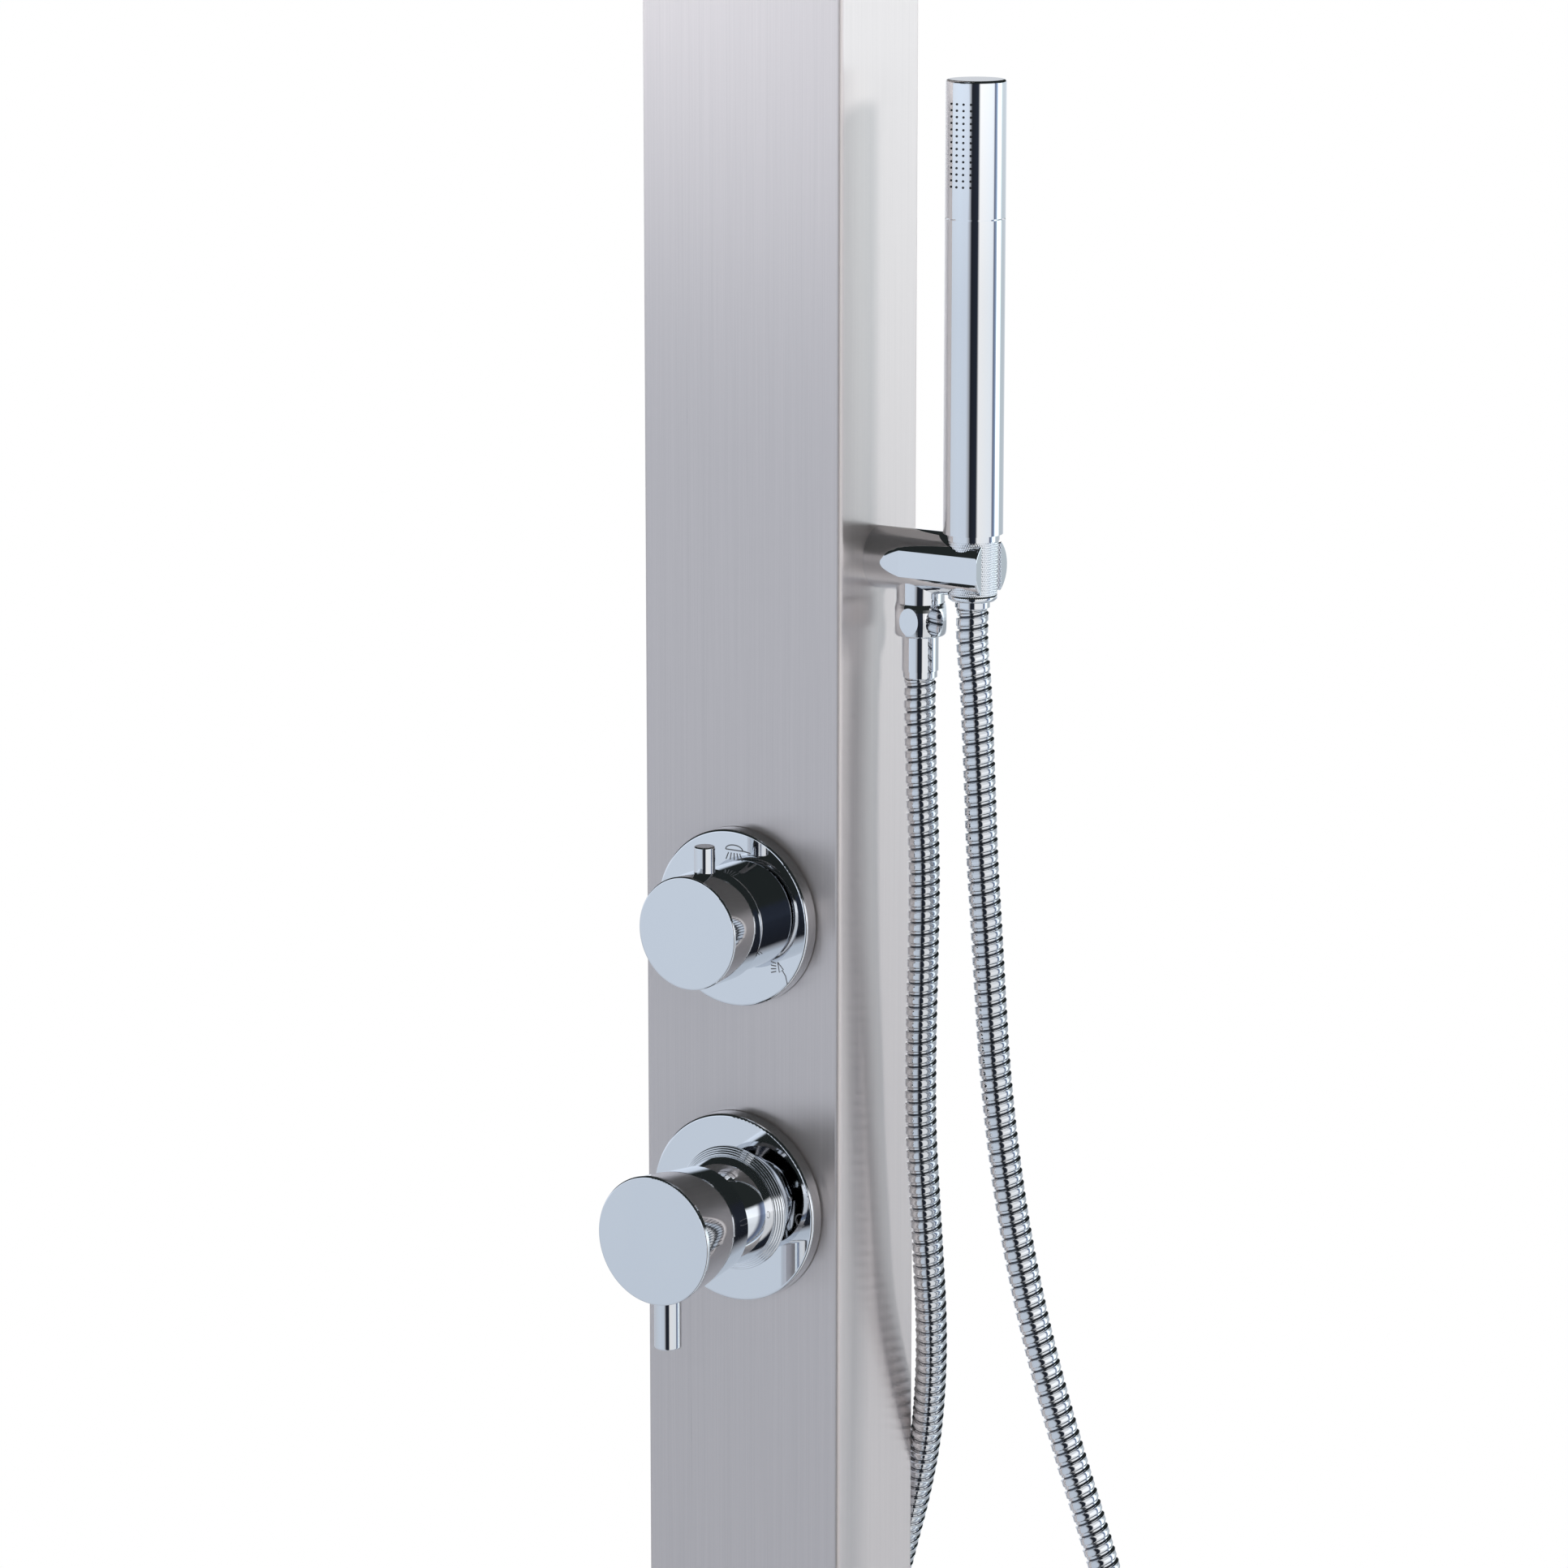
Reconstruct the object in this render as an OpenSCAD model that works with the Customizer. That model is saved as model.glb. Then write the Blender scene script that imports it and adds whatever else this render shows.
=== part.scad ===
// Free-standing outdoor shower column with an overhead shower, a diverter,
// a single-lever mixer and a stick handset that rests in its wall outlet.
// Millimetres. The origin is the centre of the foot plate's underside,
// +Z is up, the controls face -Y and the handset hangs on the +X side.

/* [Column] */
// Width of the column across its front face
column_w = 105; // [98:1:130]
// Depth of the column from front to back
column_d = 64; // [60:1:80]
// Height of the folded tube above the foot plate
column_h = 2090; // [2070:10:2300]
// Sheet thickness of the column
column_wall = 1.5; // [1.2:0.1:2]
// Outside radius of the folded corners
column_bend_r = 2.5; // [2.1:0.1:4]

/* [Foot plate and cap] */
// Side of the square foot plate
base_w = 240; // [220:5:320]
// Thickness of the foot plate
base_t = 8; // [6:1:12]
// Corner radius of the foot plate
base_corner_r = 8; // [3:1:20]
// Distance between the anchor holes along each side
anchor_spacing = 190; // [150:5:200]
// Diameter of each anchor hole
anchor_d = 11; // [9:0.5:14]
// Leg of the fillet weld round the column's foot
weld_leg = 3; // [2:0.5:4]
// Thickness of the top cap's plate
cap_t = 2.5; // [1.5:0.5:5]
// Length of the cap's skirt inside the column
cap_skirt = 16; // [8:1:25]
// Wall of the cap's skirt
cap_wall = 2; // [1.5:0.5:3]

/* [Heights above the ground] */
// Axis of the overhead arm
arm_z = 2030; // [1700:10:2040]
// Axis of the handset holder
holder_z = 1250; // [1200:1:1400]
// Axis of the diverter knob
diverter_z = 1086; // [1070:1:1120]
// Axis of the mixer knob
mixer_z = 951; // [900:1:970]
// Axis of the two water inlets
inlet_z = 150; // [100:5:300]

/* [Overhead shower] */
// Diameter of the overhead arm
arm_d = 24; // [23:1:28]
// Wall of the overhead arm
arm_wall = 3; // [2.5:0.5:4]
// Reach of the arm from the column to the shower head's centre
arm_reach = 330; // [250:5:400]
// Centre-line radius of the arm's bend
arm_bend_r = 36; // [30:1:50]
// Straight end of the arm below its bend
arm_drop = 22; // [15:1:60]
// Diameter of the arm's rosette
arm_rosette_d = 60; // [50:1:80]
// Thickness of the arm's rosette
arm_rosette_t = 7; // [5:1:12]
// Diameter of the swivel nut
swivel_d = 30; // [28:1:36]
// Diameter of the swivel ball
ball_d = 18; // [16:1:18]
// Diameter of the ball's neck
ball_neck_d = 10; // [9:0.5:10]
// Length of the neck that shows under the swivel nut
neck_show = 6; // [6:1:12]
// Diameter of the shower head
head_d = 200; // [160:5:300]
// Thickness of the shower head's rim
head_t = 9; // [8:1:14]
// Radius of the rounded rim of the shower head
head_rim = 2.4; // [1.5:0.1:3]
// Wall of the shower head's shell
head_wall = 1.5; // [1:0.5:2]
// Diameter of the boss on the shower head
head_boss_d = 30; // [24:1:32]
// Height of the boss on the shower head
head_boss_h = 12; // [11:1:20]
// Number of nozzle rings round the centre nozzle
head_rings = 4; // [2:1:4]
// Distance between nozzle rings
head_ring_pitch = 18; // [12:1:18]
// Diameter of each rain nozzle
head_nozzle_d = 3; // [2:0.5:4]
// Height that a rain nozzle stands below the plate
head_nozzle_h = 1.6; // [1:0.1:3]

/* [Rosettes] */
// Diameter of the diverter's rosette
diverter_rosette_d = 81; // [76:1:90]
// Diameter of the mixer's rosette
mixer_rosette_d = 87; // [82:1:98]
// Height of a rosette above the column
rosette_t = 8; // [7:0.5:10]
// Front wall of a rosette
rosette_wall = 1.6; // [1:0.1:2]
// Side wall of a rosette
rosette_side = 4.8; // [4.4:0.1:6]
// Radius of the rounded rim of a rosette
rosette_rim = 1.2; // [0.8:0.1:4]
// Thickness of the foam gasket behind a rosette
gasket_t = 0.8; // [0.5:0.1:1.5]

/* [Diverter] */
// Diameter of the diverter knob
diverter_knob_d = 51.5; // [50:0.5:58]
// Depth of the diverter knob
diverter_knob_l = 20.5; // [18:0.5:24]
// Distance from the column to the diverter knob's face
diverter_face = 43.8; // [42:0.1:52]
// Diameter of the diverter's pin
diverter_pin_d = 9.5; // [7:0.5:10]
// Length of the pin outside the diverter knob
diverter_pin_l = 11.5; // [6:0.5:20]
// Distance of the pin's axis behind the diverter knob's face
diverter_pin_back = 14.5; // [11:0.1:15]
// Diameter of the sleeve behind the diverter knob
diverter_sleeve_d = 48.5; // [46:0.5:49]
// Diameter of the diverter's threaded neck
diverter_neck_d = 30; // [28:1:34]
// Diameter of the diverter's cartridge
diverter_cartridge_d = 24; // [22:1:25]
// Diameter of the diverter's spindle
diverter_spindle_d = 8; // [6:0.5:10]

/* [Mixer] */
// Face diameter of the mixer knob
mixer_knob_d = 59.2; // [58:0.2:64]
// Rear diameter of the mixer knob
mixer_knob_rear_d = 50; // [50:0.5:56]
// Depth of the mixer knob
mixer_knob_l = 39; // [36:0.5:39]
// Distance from the top of the domed bonnet to the mixer knob's face
mixer_face_gap = 29.9; // [29.9:0.1:36]
// Wall of the mixer knob's skirt
mixer_knob_wall = 2; // [1.5:0.1:2]
// Diameter of the lever pin
lever_pin_d = 12.5; // [9:0.5:14]
// Length of the lever pin outside the knob
lever_pin_l = 24; // [12:0.5:40]
// Distance of the lever pin's axis behind the knob's face
lever_pin_back = 11.7; // [11:0.1:16]
// Outside diameter of the domed bonnet
dome_d = 47; // [46:0.2:50]
// Wall of the domed bonnet
dome_wall = 1.5; // [1:0.1:1.6]
// Diameter of the bonnet's lowest ring
dome_ring_d = 57.6; // [56:0.2:60]
// Diameter of the hole on top of the dome
dome_hole_d = 24; // [22:1:26]
// Diameter of the mixer's threaded neck
mixer_neck_d = 42; // [41:0.5:42.5]
// Diameter of the ceramic cartridge
cartridge_d = 35; // [34:0.5:36]
// Diameter of the cartridge's turret
turret_d = 24; // [23:0.5:25]
// Diameter of the turning carrier
carrier_d = 19; // [18:0.5:19.5]
// Side of the square lever stem
stem_w = 8; // [7:0.5:8]
// Diameter of the lever's pivot pin
pivot_pin_d = 3; // [2.5:0.5:3.5]

/* [Inner water ways] */
// Diameter of the inner pipes
pipe_d = 12; // [10:1:13]
// Wall of the inner pipes
pipe_wall = 1; // [0.8:0.1:1.5]
// Outside diameter of the half-inch pipe threads
thread_d = 20.955; // [20:0.001:21.2]
// Length of each inlet's outer thread
inlet_l = 18; // [12:1:25]
// Distance between the two inlets
inlet_spacing = 52; // [48:1:54]

/* [Handset holder] */
// Diameter of the holder's body
holder_d = 27.8; // [27:0.2:30]
// Length of the holder from the column to its open end
holder_l = 58; // [57:0.5:60]
// Distance from the column to the outlet's axis
outlet_reach = 21.5; // [20:0.5:22]
// Distance from the column to the cradle's axis
seat_reach = 48.5; // [48:0.5:50]
// Diameter of the outlet below the holder
outlet_d = 21.6; // [21.4:0.2:23]
// Length of the outlet's plain part below the holder
outlet_l = 4.5; // [4:0.5:8]
// Width of the slot that the hose passes through
fork_slot = 16.8; // [16:0.2:18]
// Depth of the milled flat on the holder's front
flat_depth = 1.3; // [0.8:0.1:1.8]
// Distance from the column to the start of the flat
flat_start = 9; // [6:1:14]
// Length of the flat's sloping start
flat_ramp = 9; // [6:1:12]
// Depth of the countersink on top of the cradle
seat_sink = 4.5; // [3:0.5:5.5]

/* [Hose] */
// Outside diameter of the ribbed hose
hose_d = 14.4; // [13.5:0.1:14.8]
// Bore of the ribbed hose
hose_bore = 9.5; // [8:0.5:10.5]
// Depth of the groove between ribs
rib_depth = 0.8; // [0.4:0.1:1.2]
// Distance from rib to rib
rib_pitch = 7.5; // [7.4:0.1:12]
// Diameter of the hose nut on the outlet
hose_nut_d = 24.6; // [24.4:0.1:26]
// Width across the flats of the hose nut
hose_nut_af = 22.8; // [22.6:0.1:24]
// Height of the hose nut
hose_nut_h = 15; // [14:0.5:18]
// Radius of the hose nut's barrel curve
barrel_r = 21.5; // [20:0.5:60]
// Radius of the hose nut's rounded foot
nut_foot_r = 2; // [0.5:0.1:2.5]
// Diameter of the ferrule under the hose nut
ferrule_d = 16.4; // [15.6:0.1:17]
// Length of the ferrule under the hose nut
ferrule_l = 15.6; // [12:0.1:24]
// Diameter of the crimped collar at each end of the hose
collar_d = 15.4; // [15:0.1:15.5]
// Length of the crimped collar at each end of the hose
collar_l = 3; // [2:0.1:4]
// Top diameter of the cradle nut
cradle_nut_d = 22.8; // [22.6:0.1:23.4]
// Lower diameter of the cradle nut's taper
cradle_nut_low_d = 21.6; // [21:0.1:22]
// Height of the cradle nut
cradle_nut_h = 27; // [26:0.5:30]
// Distance of the cradle nut's top below the top of the holder
cradle_nut_top = 1.9; // [0.9:0.1:2.9]
// Chamfer at the foot of the cradle nut
cradle_nut_chamfer = 1; // [0.5:0.1:1.5]

/* [Handset] */
// Diameter of the stick handset
handset_d = 26.4; // [25:0.2:26.8]
// Length of the stick handset above its end ring
handset_l = 198; // [180:1:240]
// Length of the upper tube that carries the spray patch
handset_head_l = 59.5; // [56:0.5:80]
// Wall of the handset's tubes
handset_wall = 1.6; // [1.2:0.1:1.8]
// Height of the stepped ring at the handset's lower end
end_ring_h = 2.8; // [2.4:0.1:4]
// Diameter of the stepped ring
end_ring_d = 23.4; // [23:0.1:25]
// Width of the shadow groove between the two tubes
seam_gap = 0.6; // [0.4:0.1:1]
// Rows of spray nubs
spray_rows = 14; // [6:1:14]
// Columns of spray nubs
spray_cols = 4; // [2:1:5]
// Distance between rows of spray nubs
spray_pitch = 2.74; // [2.2:0.01:2.8]
// Angle between columns of spray nubs, in degrees
spray_step = 14.5; // [12:0.5:20]
// Diameter of each spray nub
nub_d = 0.9; // [0.7:0.1:1.1]
// Height of each spray nub above the tube
nub_h = 0.35; // [0.2:0.05:0.6]
// Distance from the handset's top to the first row of nubs
spray_top = 10; // [9:0.1:14]

/* [Hidden] */

$fn = 96;
steel = [0.74, 0.74, 0.77];
chrome = [0.84, 0.87, 0.91];
brass = [0.80, 0.66, 0.38];
plastic = [0.90, 0.90, 0.88];
ceramic = [0.35, 0.45, 0.62];
rubber = [0.16, 0.16, 0.17];
silicone = [0.45, 0.46, 0.48];

// overrun of a cut past the face that it opens
over = 1;
// gap round a piece that turns or slides
run_gap = 0.25;
// gap in a threaded or pushed joint
fit_gap = 0.1;
// gap round a neck, shank or nipple where it passes the column's sheet
hole_gap = 0.5;
// gap between a tapered nut and its cradle
seat_gap = 0.3;
// gap between the cap's skirt and the column's inside
cap_gap = 0.2;
// rounding of a machined edge
edge_r = 0.8;

front_y = -column_d / 2;
side_x = column_w / 2;
column_top = base_t + column_h;
inner_corner_r = column_bend_r - column_wall;

arm_inset = 20;
arm_nut_af = 36;
arm_nut_t = 6;
arm_grip = 8;
arm_run = arm_reach - arm_bend_r;
arm_end_z = arm_z - arm_bend_r - arm_drop;
seat_wall = 2;
socket_floor = 1.5;
ball_hold = 6;
ball_hole_d = 5;
boss_grip = 8;
nozzle_mat_t = 1.8;
nozzle_mat_edge = 6;
seat_out_d = ball_d + 2 * run_gap + 2 * seat_wall;
socket_d = seat_out_d + 2 * run_gap;
ball_z = arm_end_z - socket_floor - socket_d / 2;
swivel_low = ball_z - ball_hold;
swivel_h = arm_end_z + arm_grip - swivel_low;
swivel_y = front_y - arm_reach;
boss_top = swivel_low - neck_show;
head_top = boss_top - head_boss_h;
head_low = head_top - head_t;

block_clear = 6;
block_depth = column_d - 2 * column_wall - block_clear;
port_l = 10;
pipe_t = front_y;
elbow_wall = 4;
pipe_bend_r = 16.8;

diverter_block = [44, 40];
diverter_neck_l = 16;
diverter_bore_low = -18;
diverter_cap = 2;
diverter_spindle_low = -6;
diverter_spindle_back = 6;
diverter_pin_pad_d = 11;
diverter_wall = 3;
diverter_front = 4;
diverter_shank_d = 5;
diverter_boss_d = 16;
knob_clear = 1;
sleeve_shoulder = 3;
diverter_rear = diverter_face - diverter_knob_l;
sleeve_top = diverter_rear - knob_clear;
side_port_x = 14;

mixer_block = [72, 46];
mixer_neck_l = 14;
mixer_bore_low = -24;
turret_top = 22.5;
turret_floor = 15.5;
carrier_low = 16;
carrier_top = 32;
carrier_slot_floor = 23.4;
carrier_slot_gap = 0.4;
pivot_t = 28;
pivot_pin_l = 17;
stem_top_back = 7;
dome_base = 10;
dome_step_h = 9;
dome_width_share = [1, 0.94, 0.885];
dome_height_share = [0.33, 0.61, 1];
mixer_front = 5;
mixer_boss_d = 17;
mixer_boss_back = 27.4;
lever_pad_d = 14;
lever_shank_d = 6;
mixer_face = rosette_t + dome_base + dome_d / 2 + mixer_face_gap;
mixer_rear = mixer_face - mixer_knob_l;
lever_t = mixer_face - lever_pin_back;
lever_seat_r = skirt_r(lever_t) - edge_r;

inlet_x = inlet_spacing / 2;
rear_y = column_d / 2;
inlet_af = 27;
inlet_collar_t = 6;
inlet_inner_l = 12;
inlet_bore_d = 14;
elbow_block = [26, 38, 30];
// a pipe's end stops this far above or below the open face of its socket
port_reach = port_l - fit_gap;
elbow_top_z = inlet_z + elbow_block[2] - elbow_block[0] / 2;
mixer_low_z = mixer_z - mixer_block[1] / 2;
mixer_high_z = mixer_z + mixer_block[1] / 2;
diverter_low_z = diverter_z - diverter_block[1] / 2;
diverter_high_z = diverter_z + diverter_block[1] / 2;

shank_l = 18;
shank_socket = 12;
locknut_af = 27;
locknut_t = 5;
water_d = 10;
nipple_l = 11;
nipple_bore_d = 12;
washer_t = 1.5;
flange_t = 1.5;
washer_d = 20.2;
outlet_x = side_x + outlet_reach;
seat_x = side_x + seat_reach;
holder_end_x = side_x + holder_l;
outlet_nut_top = holder_z - holder_d / 2 - outlet_l;
outlet_nut_low = outlet_nut_top - hose_nut_h;
outlet_hose_z = outlet_nut_low - ferrule_l - collar_l;
// turn of the hose nut's flats from the column's sides, in degrees
nut_turn = 5;
cradle_rise = holder_d / 2 - cradle_nut_top;
cradle_top_z = holder_z + cradle_rise;
cradle_low_z = cradle_top_z - cradle_nut_h;
handset_hose_z = cradle_low_z - collar_l;

grip_low = cradle_top_z + end_ring_h;
handset_top = grip_low + handset_l;
head_tube_low = handset_top - handset_head_l;
grip_spigot = 8;
handset_in_d = handset_d - 2 * handset_wall;
handset_top_t = 2;
handset_top_r = 1.2;
strip_t = 0.6;
strip_margin = 3;

// places local +Z along -Y, outwards from the column's front face,
// with local +Y upwards
module on_front(z) {
    translate([0, front_y, z]) rotate([90, 0, 0]) children();
}

// upright bar with round corners
module rounded_bar(w, d, r, h) {
    linear_extrude(h) {
        square([w - 2 * r, d], center = true);
        square([w, d - 2 * r], center = true);
        for (sx = [-1, 1], sy = [-1, 1])
            translate([sx * (w / 2 - r), sy * (d / 2 - r)]) circle(r);
    }
}

// tube that stands on z = 0
module tube(outer, inner, h) {
    difference() {
        cylinder(d = outer, h = h);
        translate([0, 0, -over]) cylinder(d = inner, h = h + 2 * over);
    }
}

// six-sided nut with a round hole, on z = 0
module hex_ring(af, hole, h) {
    difference() {
        cylinder(d = af / cos(30), h = h, $fn = 6);
        translate([0, 0, -over]) cylinder(d = hole, h = h + 2 * over);
    }
}

// disc with a rounded upper rim, on z = 0
module round_rim_disc(d, t, r) {
    rotate_extrude() {
        square([d / 2 - r, t]);
        square([d / 2, t - r]);
        translate([d / 2 - r, t - r]) circle(r);
    }
}

// quarter bend in the Y-Z plane that starts along +Z and ends along -Y
module bend_forward(r, d) {
    translate([0, -r, 0]) rotate([90, 0, 90])
        rotate_extrude(angle = 90) translate([r, 0]) circle(d = d);
}

// quarter bend in the X-Z plane that starts along +Z and ends along +X
module bend_right(r, d) {
    translate([r, 0, 0]) rotate([90, 0, 0]) rotate(90)
        rotate_extrude(angle = 90) translate([r, 0]) circle(d = d);
}

// Column and foot

module front_hole(z, d) {
    on_front(z) translate([0, 0, -column_wall - over])
        cylinder(d = d + 2 * hole_gap, h = column_wall + 2 * over);
}

module column() {
    color(steel) difference() {
        translate([0, 0, base_t]) rounded_bar(column_w, column_d, column_bend_r, column_h);
        translate([0, 0, base_t - over])
            rounded_bar(column_w - 2 * column_wall, column_d - 2 * column_wall,
                        inner_corner_r, column_h + 2 * over);
        front_hole(mixer_z, mixer_neck_d);
        front_hole(diverter_z, diverter_neck_d);
        front_hole(arm_z, arm_d);
        translate([side_x - column_wall - over, 0, holder_z]) rotate([0, 90, 0])
            cylinder(d = thread_d + 2 * hole_gap, h = column_wall + 2 * over);
        for (s = [-1, 1])
            translate([s * inlet_x, rear_y + over, inlet_z]) rotate([90, 0, 0])
                cylinder(d = thread_d + 2 * hole_gap, h = column_wall + 2 * over);
    }
}

module base_plate() {
    color(steel) difference() {
        rounded_bar(base_w, base_w, base_corner_r, base_t);
        for (sx = [-1, 1], sy = [-1, 1])
            translate([sx * anchor_spacing / 2, sy * anchor_spacing / 2, -over])
                cylinder(d = anchor_d, h = base_t + 2 * over);
    }
}

// three-cornered bead of the given length along +X
module weld_run(length) {
    rotate([90, 0, 90]) linear_extrude(length)
        polygon([[0, 0], [weld_leg, 0], [0, weld_leg]]);
}

module base_weld() {
    color(steel) translate([0, 0, base_t]) for (turn = [0, 180]) rotate(turn) {
        translate([-side_x - weld_leg, rear_y, 0]) weld_run(column_w + 2 * weld_leg);
        rotate(90) translate([-rear_y, side_x, 0]) weld_run(column_d);
    }
}

module top_cap() {
    skirt_w = column_w - 2 * column_wall - 2 * cap_gap;
    skirt_d = column_d - 2 * column_wall - 2 * cap_gap;
    color(steel) translate([0, 0, column_top]) {
        rounded_bar(column_w, column_d, column_bend_r, cap_t);
        translate([0, 0, -cap_skirt]) difference() {
            rounded_bar(skirt_w, skirt_d, inner_corner_r, cap_skirt);
            translate([0, 0, -over])
                rounded_bar(skirt_w - 2 * cap_wall, skirt_d - 2 * cap_wall,
                            inner_corner_r, cap_skirt + over);
        }
    }
}

// Overhead shower

module head_arm() {
    bore = arm_d - 2 * arm_wall;
    color(chrome) on_front(arm_z) difference() {
        union() {
            translate([0, 0, -arm_inset]) cylinder(d = arm_d, h = arm_inset + arm_run);
            translate([0, 0, arm_run]) bend_forward(arm_bend_r, arm_d);
            translate([0, -arm_bend_r, arm_reach]) rotate([90, 0, 0])
                cylinder(d = arm_d, h = arm_drop - arm_grip);
            translate([0, -arm_bend_r, arm_reach]) rotate([90, 0, 0])
                cylinder(d = thread_d, h = arm_drop);
        }
        translate([0, 0, -arm_inset - over]) cylinder(d = bore, h = arm_inset + arm_run + over);
        translate([0, 0, arm_run]) bend_forward(arm_bend_r, bore);
        translate([0, -arm_bend_r, arm_reach]) rotate([90, 0, 0])
            cylinder(d = bore, h = arm_drop + over);
    }
}

module arm_rosette() {
    color(chrome) on_front(arm_z) difference() {
        round_rim_disc(arm_rosette_d, arm_rosette_t, rosette_rim);
        translate([0, 0, -over])
            cylinder(d = arm_d + 2 * fit_gap, h = arm_rosette_t + 2 * over);
    }
}

module arm_locknut() {
    color(brass) on_front(arm_z) translate([0, 0, -column_wall - arm_nut_t])
        hex_ring(arm_nut_af, arm_d + 2 * fit_gap, arm_nut_t);
}

// block inside the column that joins the riser pipe to the arm
module arm_elbow() {
    front_t = column_wall + arm_nut_t;
    low = arm_d / 2 + port_l;
    pipe_edge = pipe_d / 2 + elbow_wall;
    arm_edge = arm_d / 2 + elbow_wall;
    color(brass) on_front(arm_z) difference() {
        translate([-side_port_x - pipe_edge, -low, pipe_t - pipe_edge])
            cube([side_port_x + pipe_edge + arm_edge, low + arm_edge, pipe_edge - pipe_t - front_t]);
        translate([0, 0, -arm_inset - fit_gap])
            cylinder(d = arm_d + 2 * fit_gap, h = arm_inset);
        valve_port(-side_port_x, -low, -1);
    }
}

module swivel_nut() {
    color(chrome) translate([0, swivel_y, 0]) difference() {
        translate([0, 0, swivel_low]) cylinder(d = swivel_d, h = swivel_h);
        translate([0, 0, arm_end_z])
            cylinder(d = thread_d + 2 * fit_gap, h = arm_grip + over);
        translate([0, 0, ball_z]) cylinder(d = ball_d / 2, h = arm_end_z - ball_z + over);
        intersection() {
            translate([0, 0, ball_z]) sphere(d = socket_d);
            translate([0, 0, ball_z]) cylinder(d = swivel_d, h = swivel_d);
        }
        translate([0, 0, ball_z]) sphere(d = ball_d + 2 * run_gap);
    }
}

module ball_seat() {
    color(plastic) translate([0, swivel_y, ball_z]) intersection() {
        difference() {
            sphere(d = seat_out_d);
            sphere(d = ball_d + 2 * run_gap);
            cylinder(d = ball_neck_d, h = seat_out_d);
        }
        translate([0, 0, ball_hold / 2]) cylinder(d = swivel_d, h = swivel_d);
    }
}

module head_ball() {
    neck_low = boss_top - boss_grip;
    color(chrome) translate([0, swivel_y, 0]) difference() {
        union() {
            translate([0, 0, ball_z]) sphere(d = ball_d);
            translate([0, 0, neck_low]) cylinder(d = ball_neck_d, h = ball_z - neck_low);
        }
        translate([0, 0, neck_low - over])
            cylinder(d = ball_hole_d, h = ball_z - neck_low + ball_d);
    }
}

module head_shell() {
    color(chrome) translate([0, swivel_y, head_low]) difference() {
        union() {
            round_rim_disc(head_d, head_t, head_rim);
            translate([0, 0, head_t - head_wall])
                cylinder(d = head_boss_d, h = head_boss_h + head_wall);
        }
        translate([0, 0, -over])
            cylinder(d = head_d - 2 * head_wall, h = head_t + over - head_wall);
        translate([0, 0, head_t + head_boss_h - boss_grip - run_gap])
            cylinder(d = ball_neck_d + 2 * fit_gap, h = boss_grip + run_gap + over);
        cylinder(d = ball_hole_d, h = head_t + head_boss_h);
    }
}

// the centre nozzle, and in each ring six times as many as its number
module rain_pattern() {
    children();
    for (ring = [1:head_rings], k = [0:6 * ring - 1])
        rotate(60 * k / ring) translate([ring * head_ring_pitch, 0, 0]) children();
}

module head_plate() {
    color(chrome) translate([0, swivel_y, head_low]) difference() {
        cylinder(d = head_d - 2 * head_wall - 2 * fit_gap, h = head_wall);
        rain_pattern() translate([0, 0, -over])
            cylinder(d = head_nozzle_d + 2 * fit_gap, h = head_wall + 2 * over, $fn = 24);
    }
}

module head_nozzles() {
    mat_r = head_rings * head_ring_pitch + nozzle_mat_edge;
    color(silicone) translate([0, swivel_y, head_low]) {
        translate([0, 0, head_wall]) cylinder(r = mat_r, h = nozzle_mat_t);
        rain_pattern() translate([0, 0, -head_nozzle_h])
            cylinder(d = head_nozzle_d, h = head_nozzle_h + head_wall + nozzle_mat_t, $fn = 24);
    }
}

// Rosettes

// polished cover disc, hollow behind, with a hole for the valve's neck
module rosette(d, hole) {
    difference() {
        translate([0, 0, gasket_t]) round_rim_disc(d, rosette_t - gasket_t, rosette_rim);
        translate([0, 0, -over])
            cylinder(d = d - 2 * rosette_side, h = rosette_t - rosette_wall + over);
        translate([0, 0, -over]) cylinder(d = hole, h = rosette_t + 2 * over);
    }
}

module gasket(d) {
    tube(d - 2 * gasket_t, d - 2 * rosette_side, gasket_t);
}

module diverter_rosette() {
    color(chrome) on_front(diverter_z)
        rosette(diverter_rosette_d, diverter_neck_d + 2 * run_gap);
}

module diverter_seal() {
    color(rubber) on_front(diverter_z) gasket(diverter_rosette_d);
}

module mixer_rosette() {
    color(chrome) on_front(mixer_z) rosette(mixer_rosette_d, mixer_neck_d + 2 * run_gap);
}

module mixer_seal() {
    color(rubber) on_front(mixer_z) gasket(mixer_rosette_d);
}

// Valves

// blind socket for a pipe at side offset x, in a block's upper or lower face
module valve_port(x, y, s) {
    translate([x, y - s * port_l, pipe_t]) rotate([-90 * s, 0, 0])
        cylinder(d = pipe_d + 2 * fit_gap, h = port_l + over);
}

// valve block behind the column's front sheet, with a neck through the sheet
// and pipe sockets in its lower and upper faces
module valve_block(size, neck_d, neck_l, bore_d, bore_low, low_ports, high_ports) {
    difference() {
        union() {
            translate([-size[0] / 2, -size[1] / 2, -column_wall - block_depth])
                cube([size[0], size[1], block_depth]);
            translate([0, 0, -column_wall - over])
                cylinder(d = neck_d, h = column_wall + over + neck_l);
        }
        translate([0, 0, bore_low]) cylinder(d = bore_d, h = neck_l - bore_low + over);
        for (x = low_ports) valve_port(x, -size[1] / 2, -1);
        for (x = high_ports) valve_port(x, size[1] / 2, 1);
    }
}

module diverter_body() {
    color(brass) on_front(diverter_z)
        valve_block(diverter_block, diverter_neck_d, diverter_neck_l,
                    diverter_cartridge_d + 2 * fit_gap, diverter_bore_low,
                    [0], [-side_port_x, side_port_x]);
}

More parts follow.
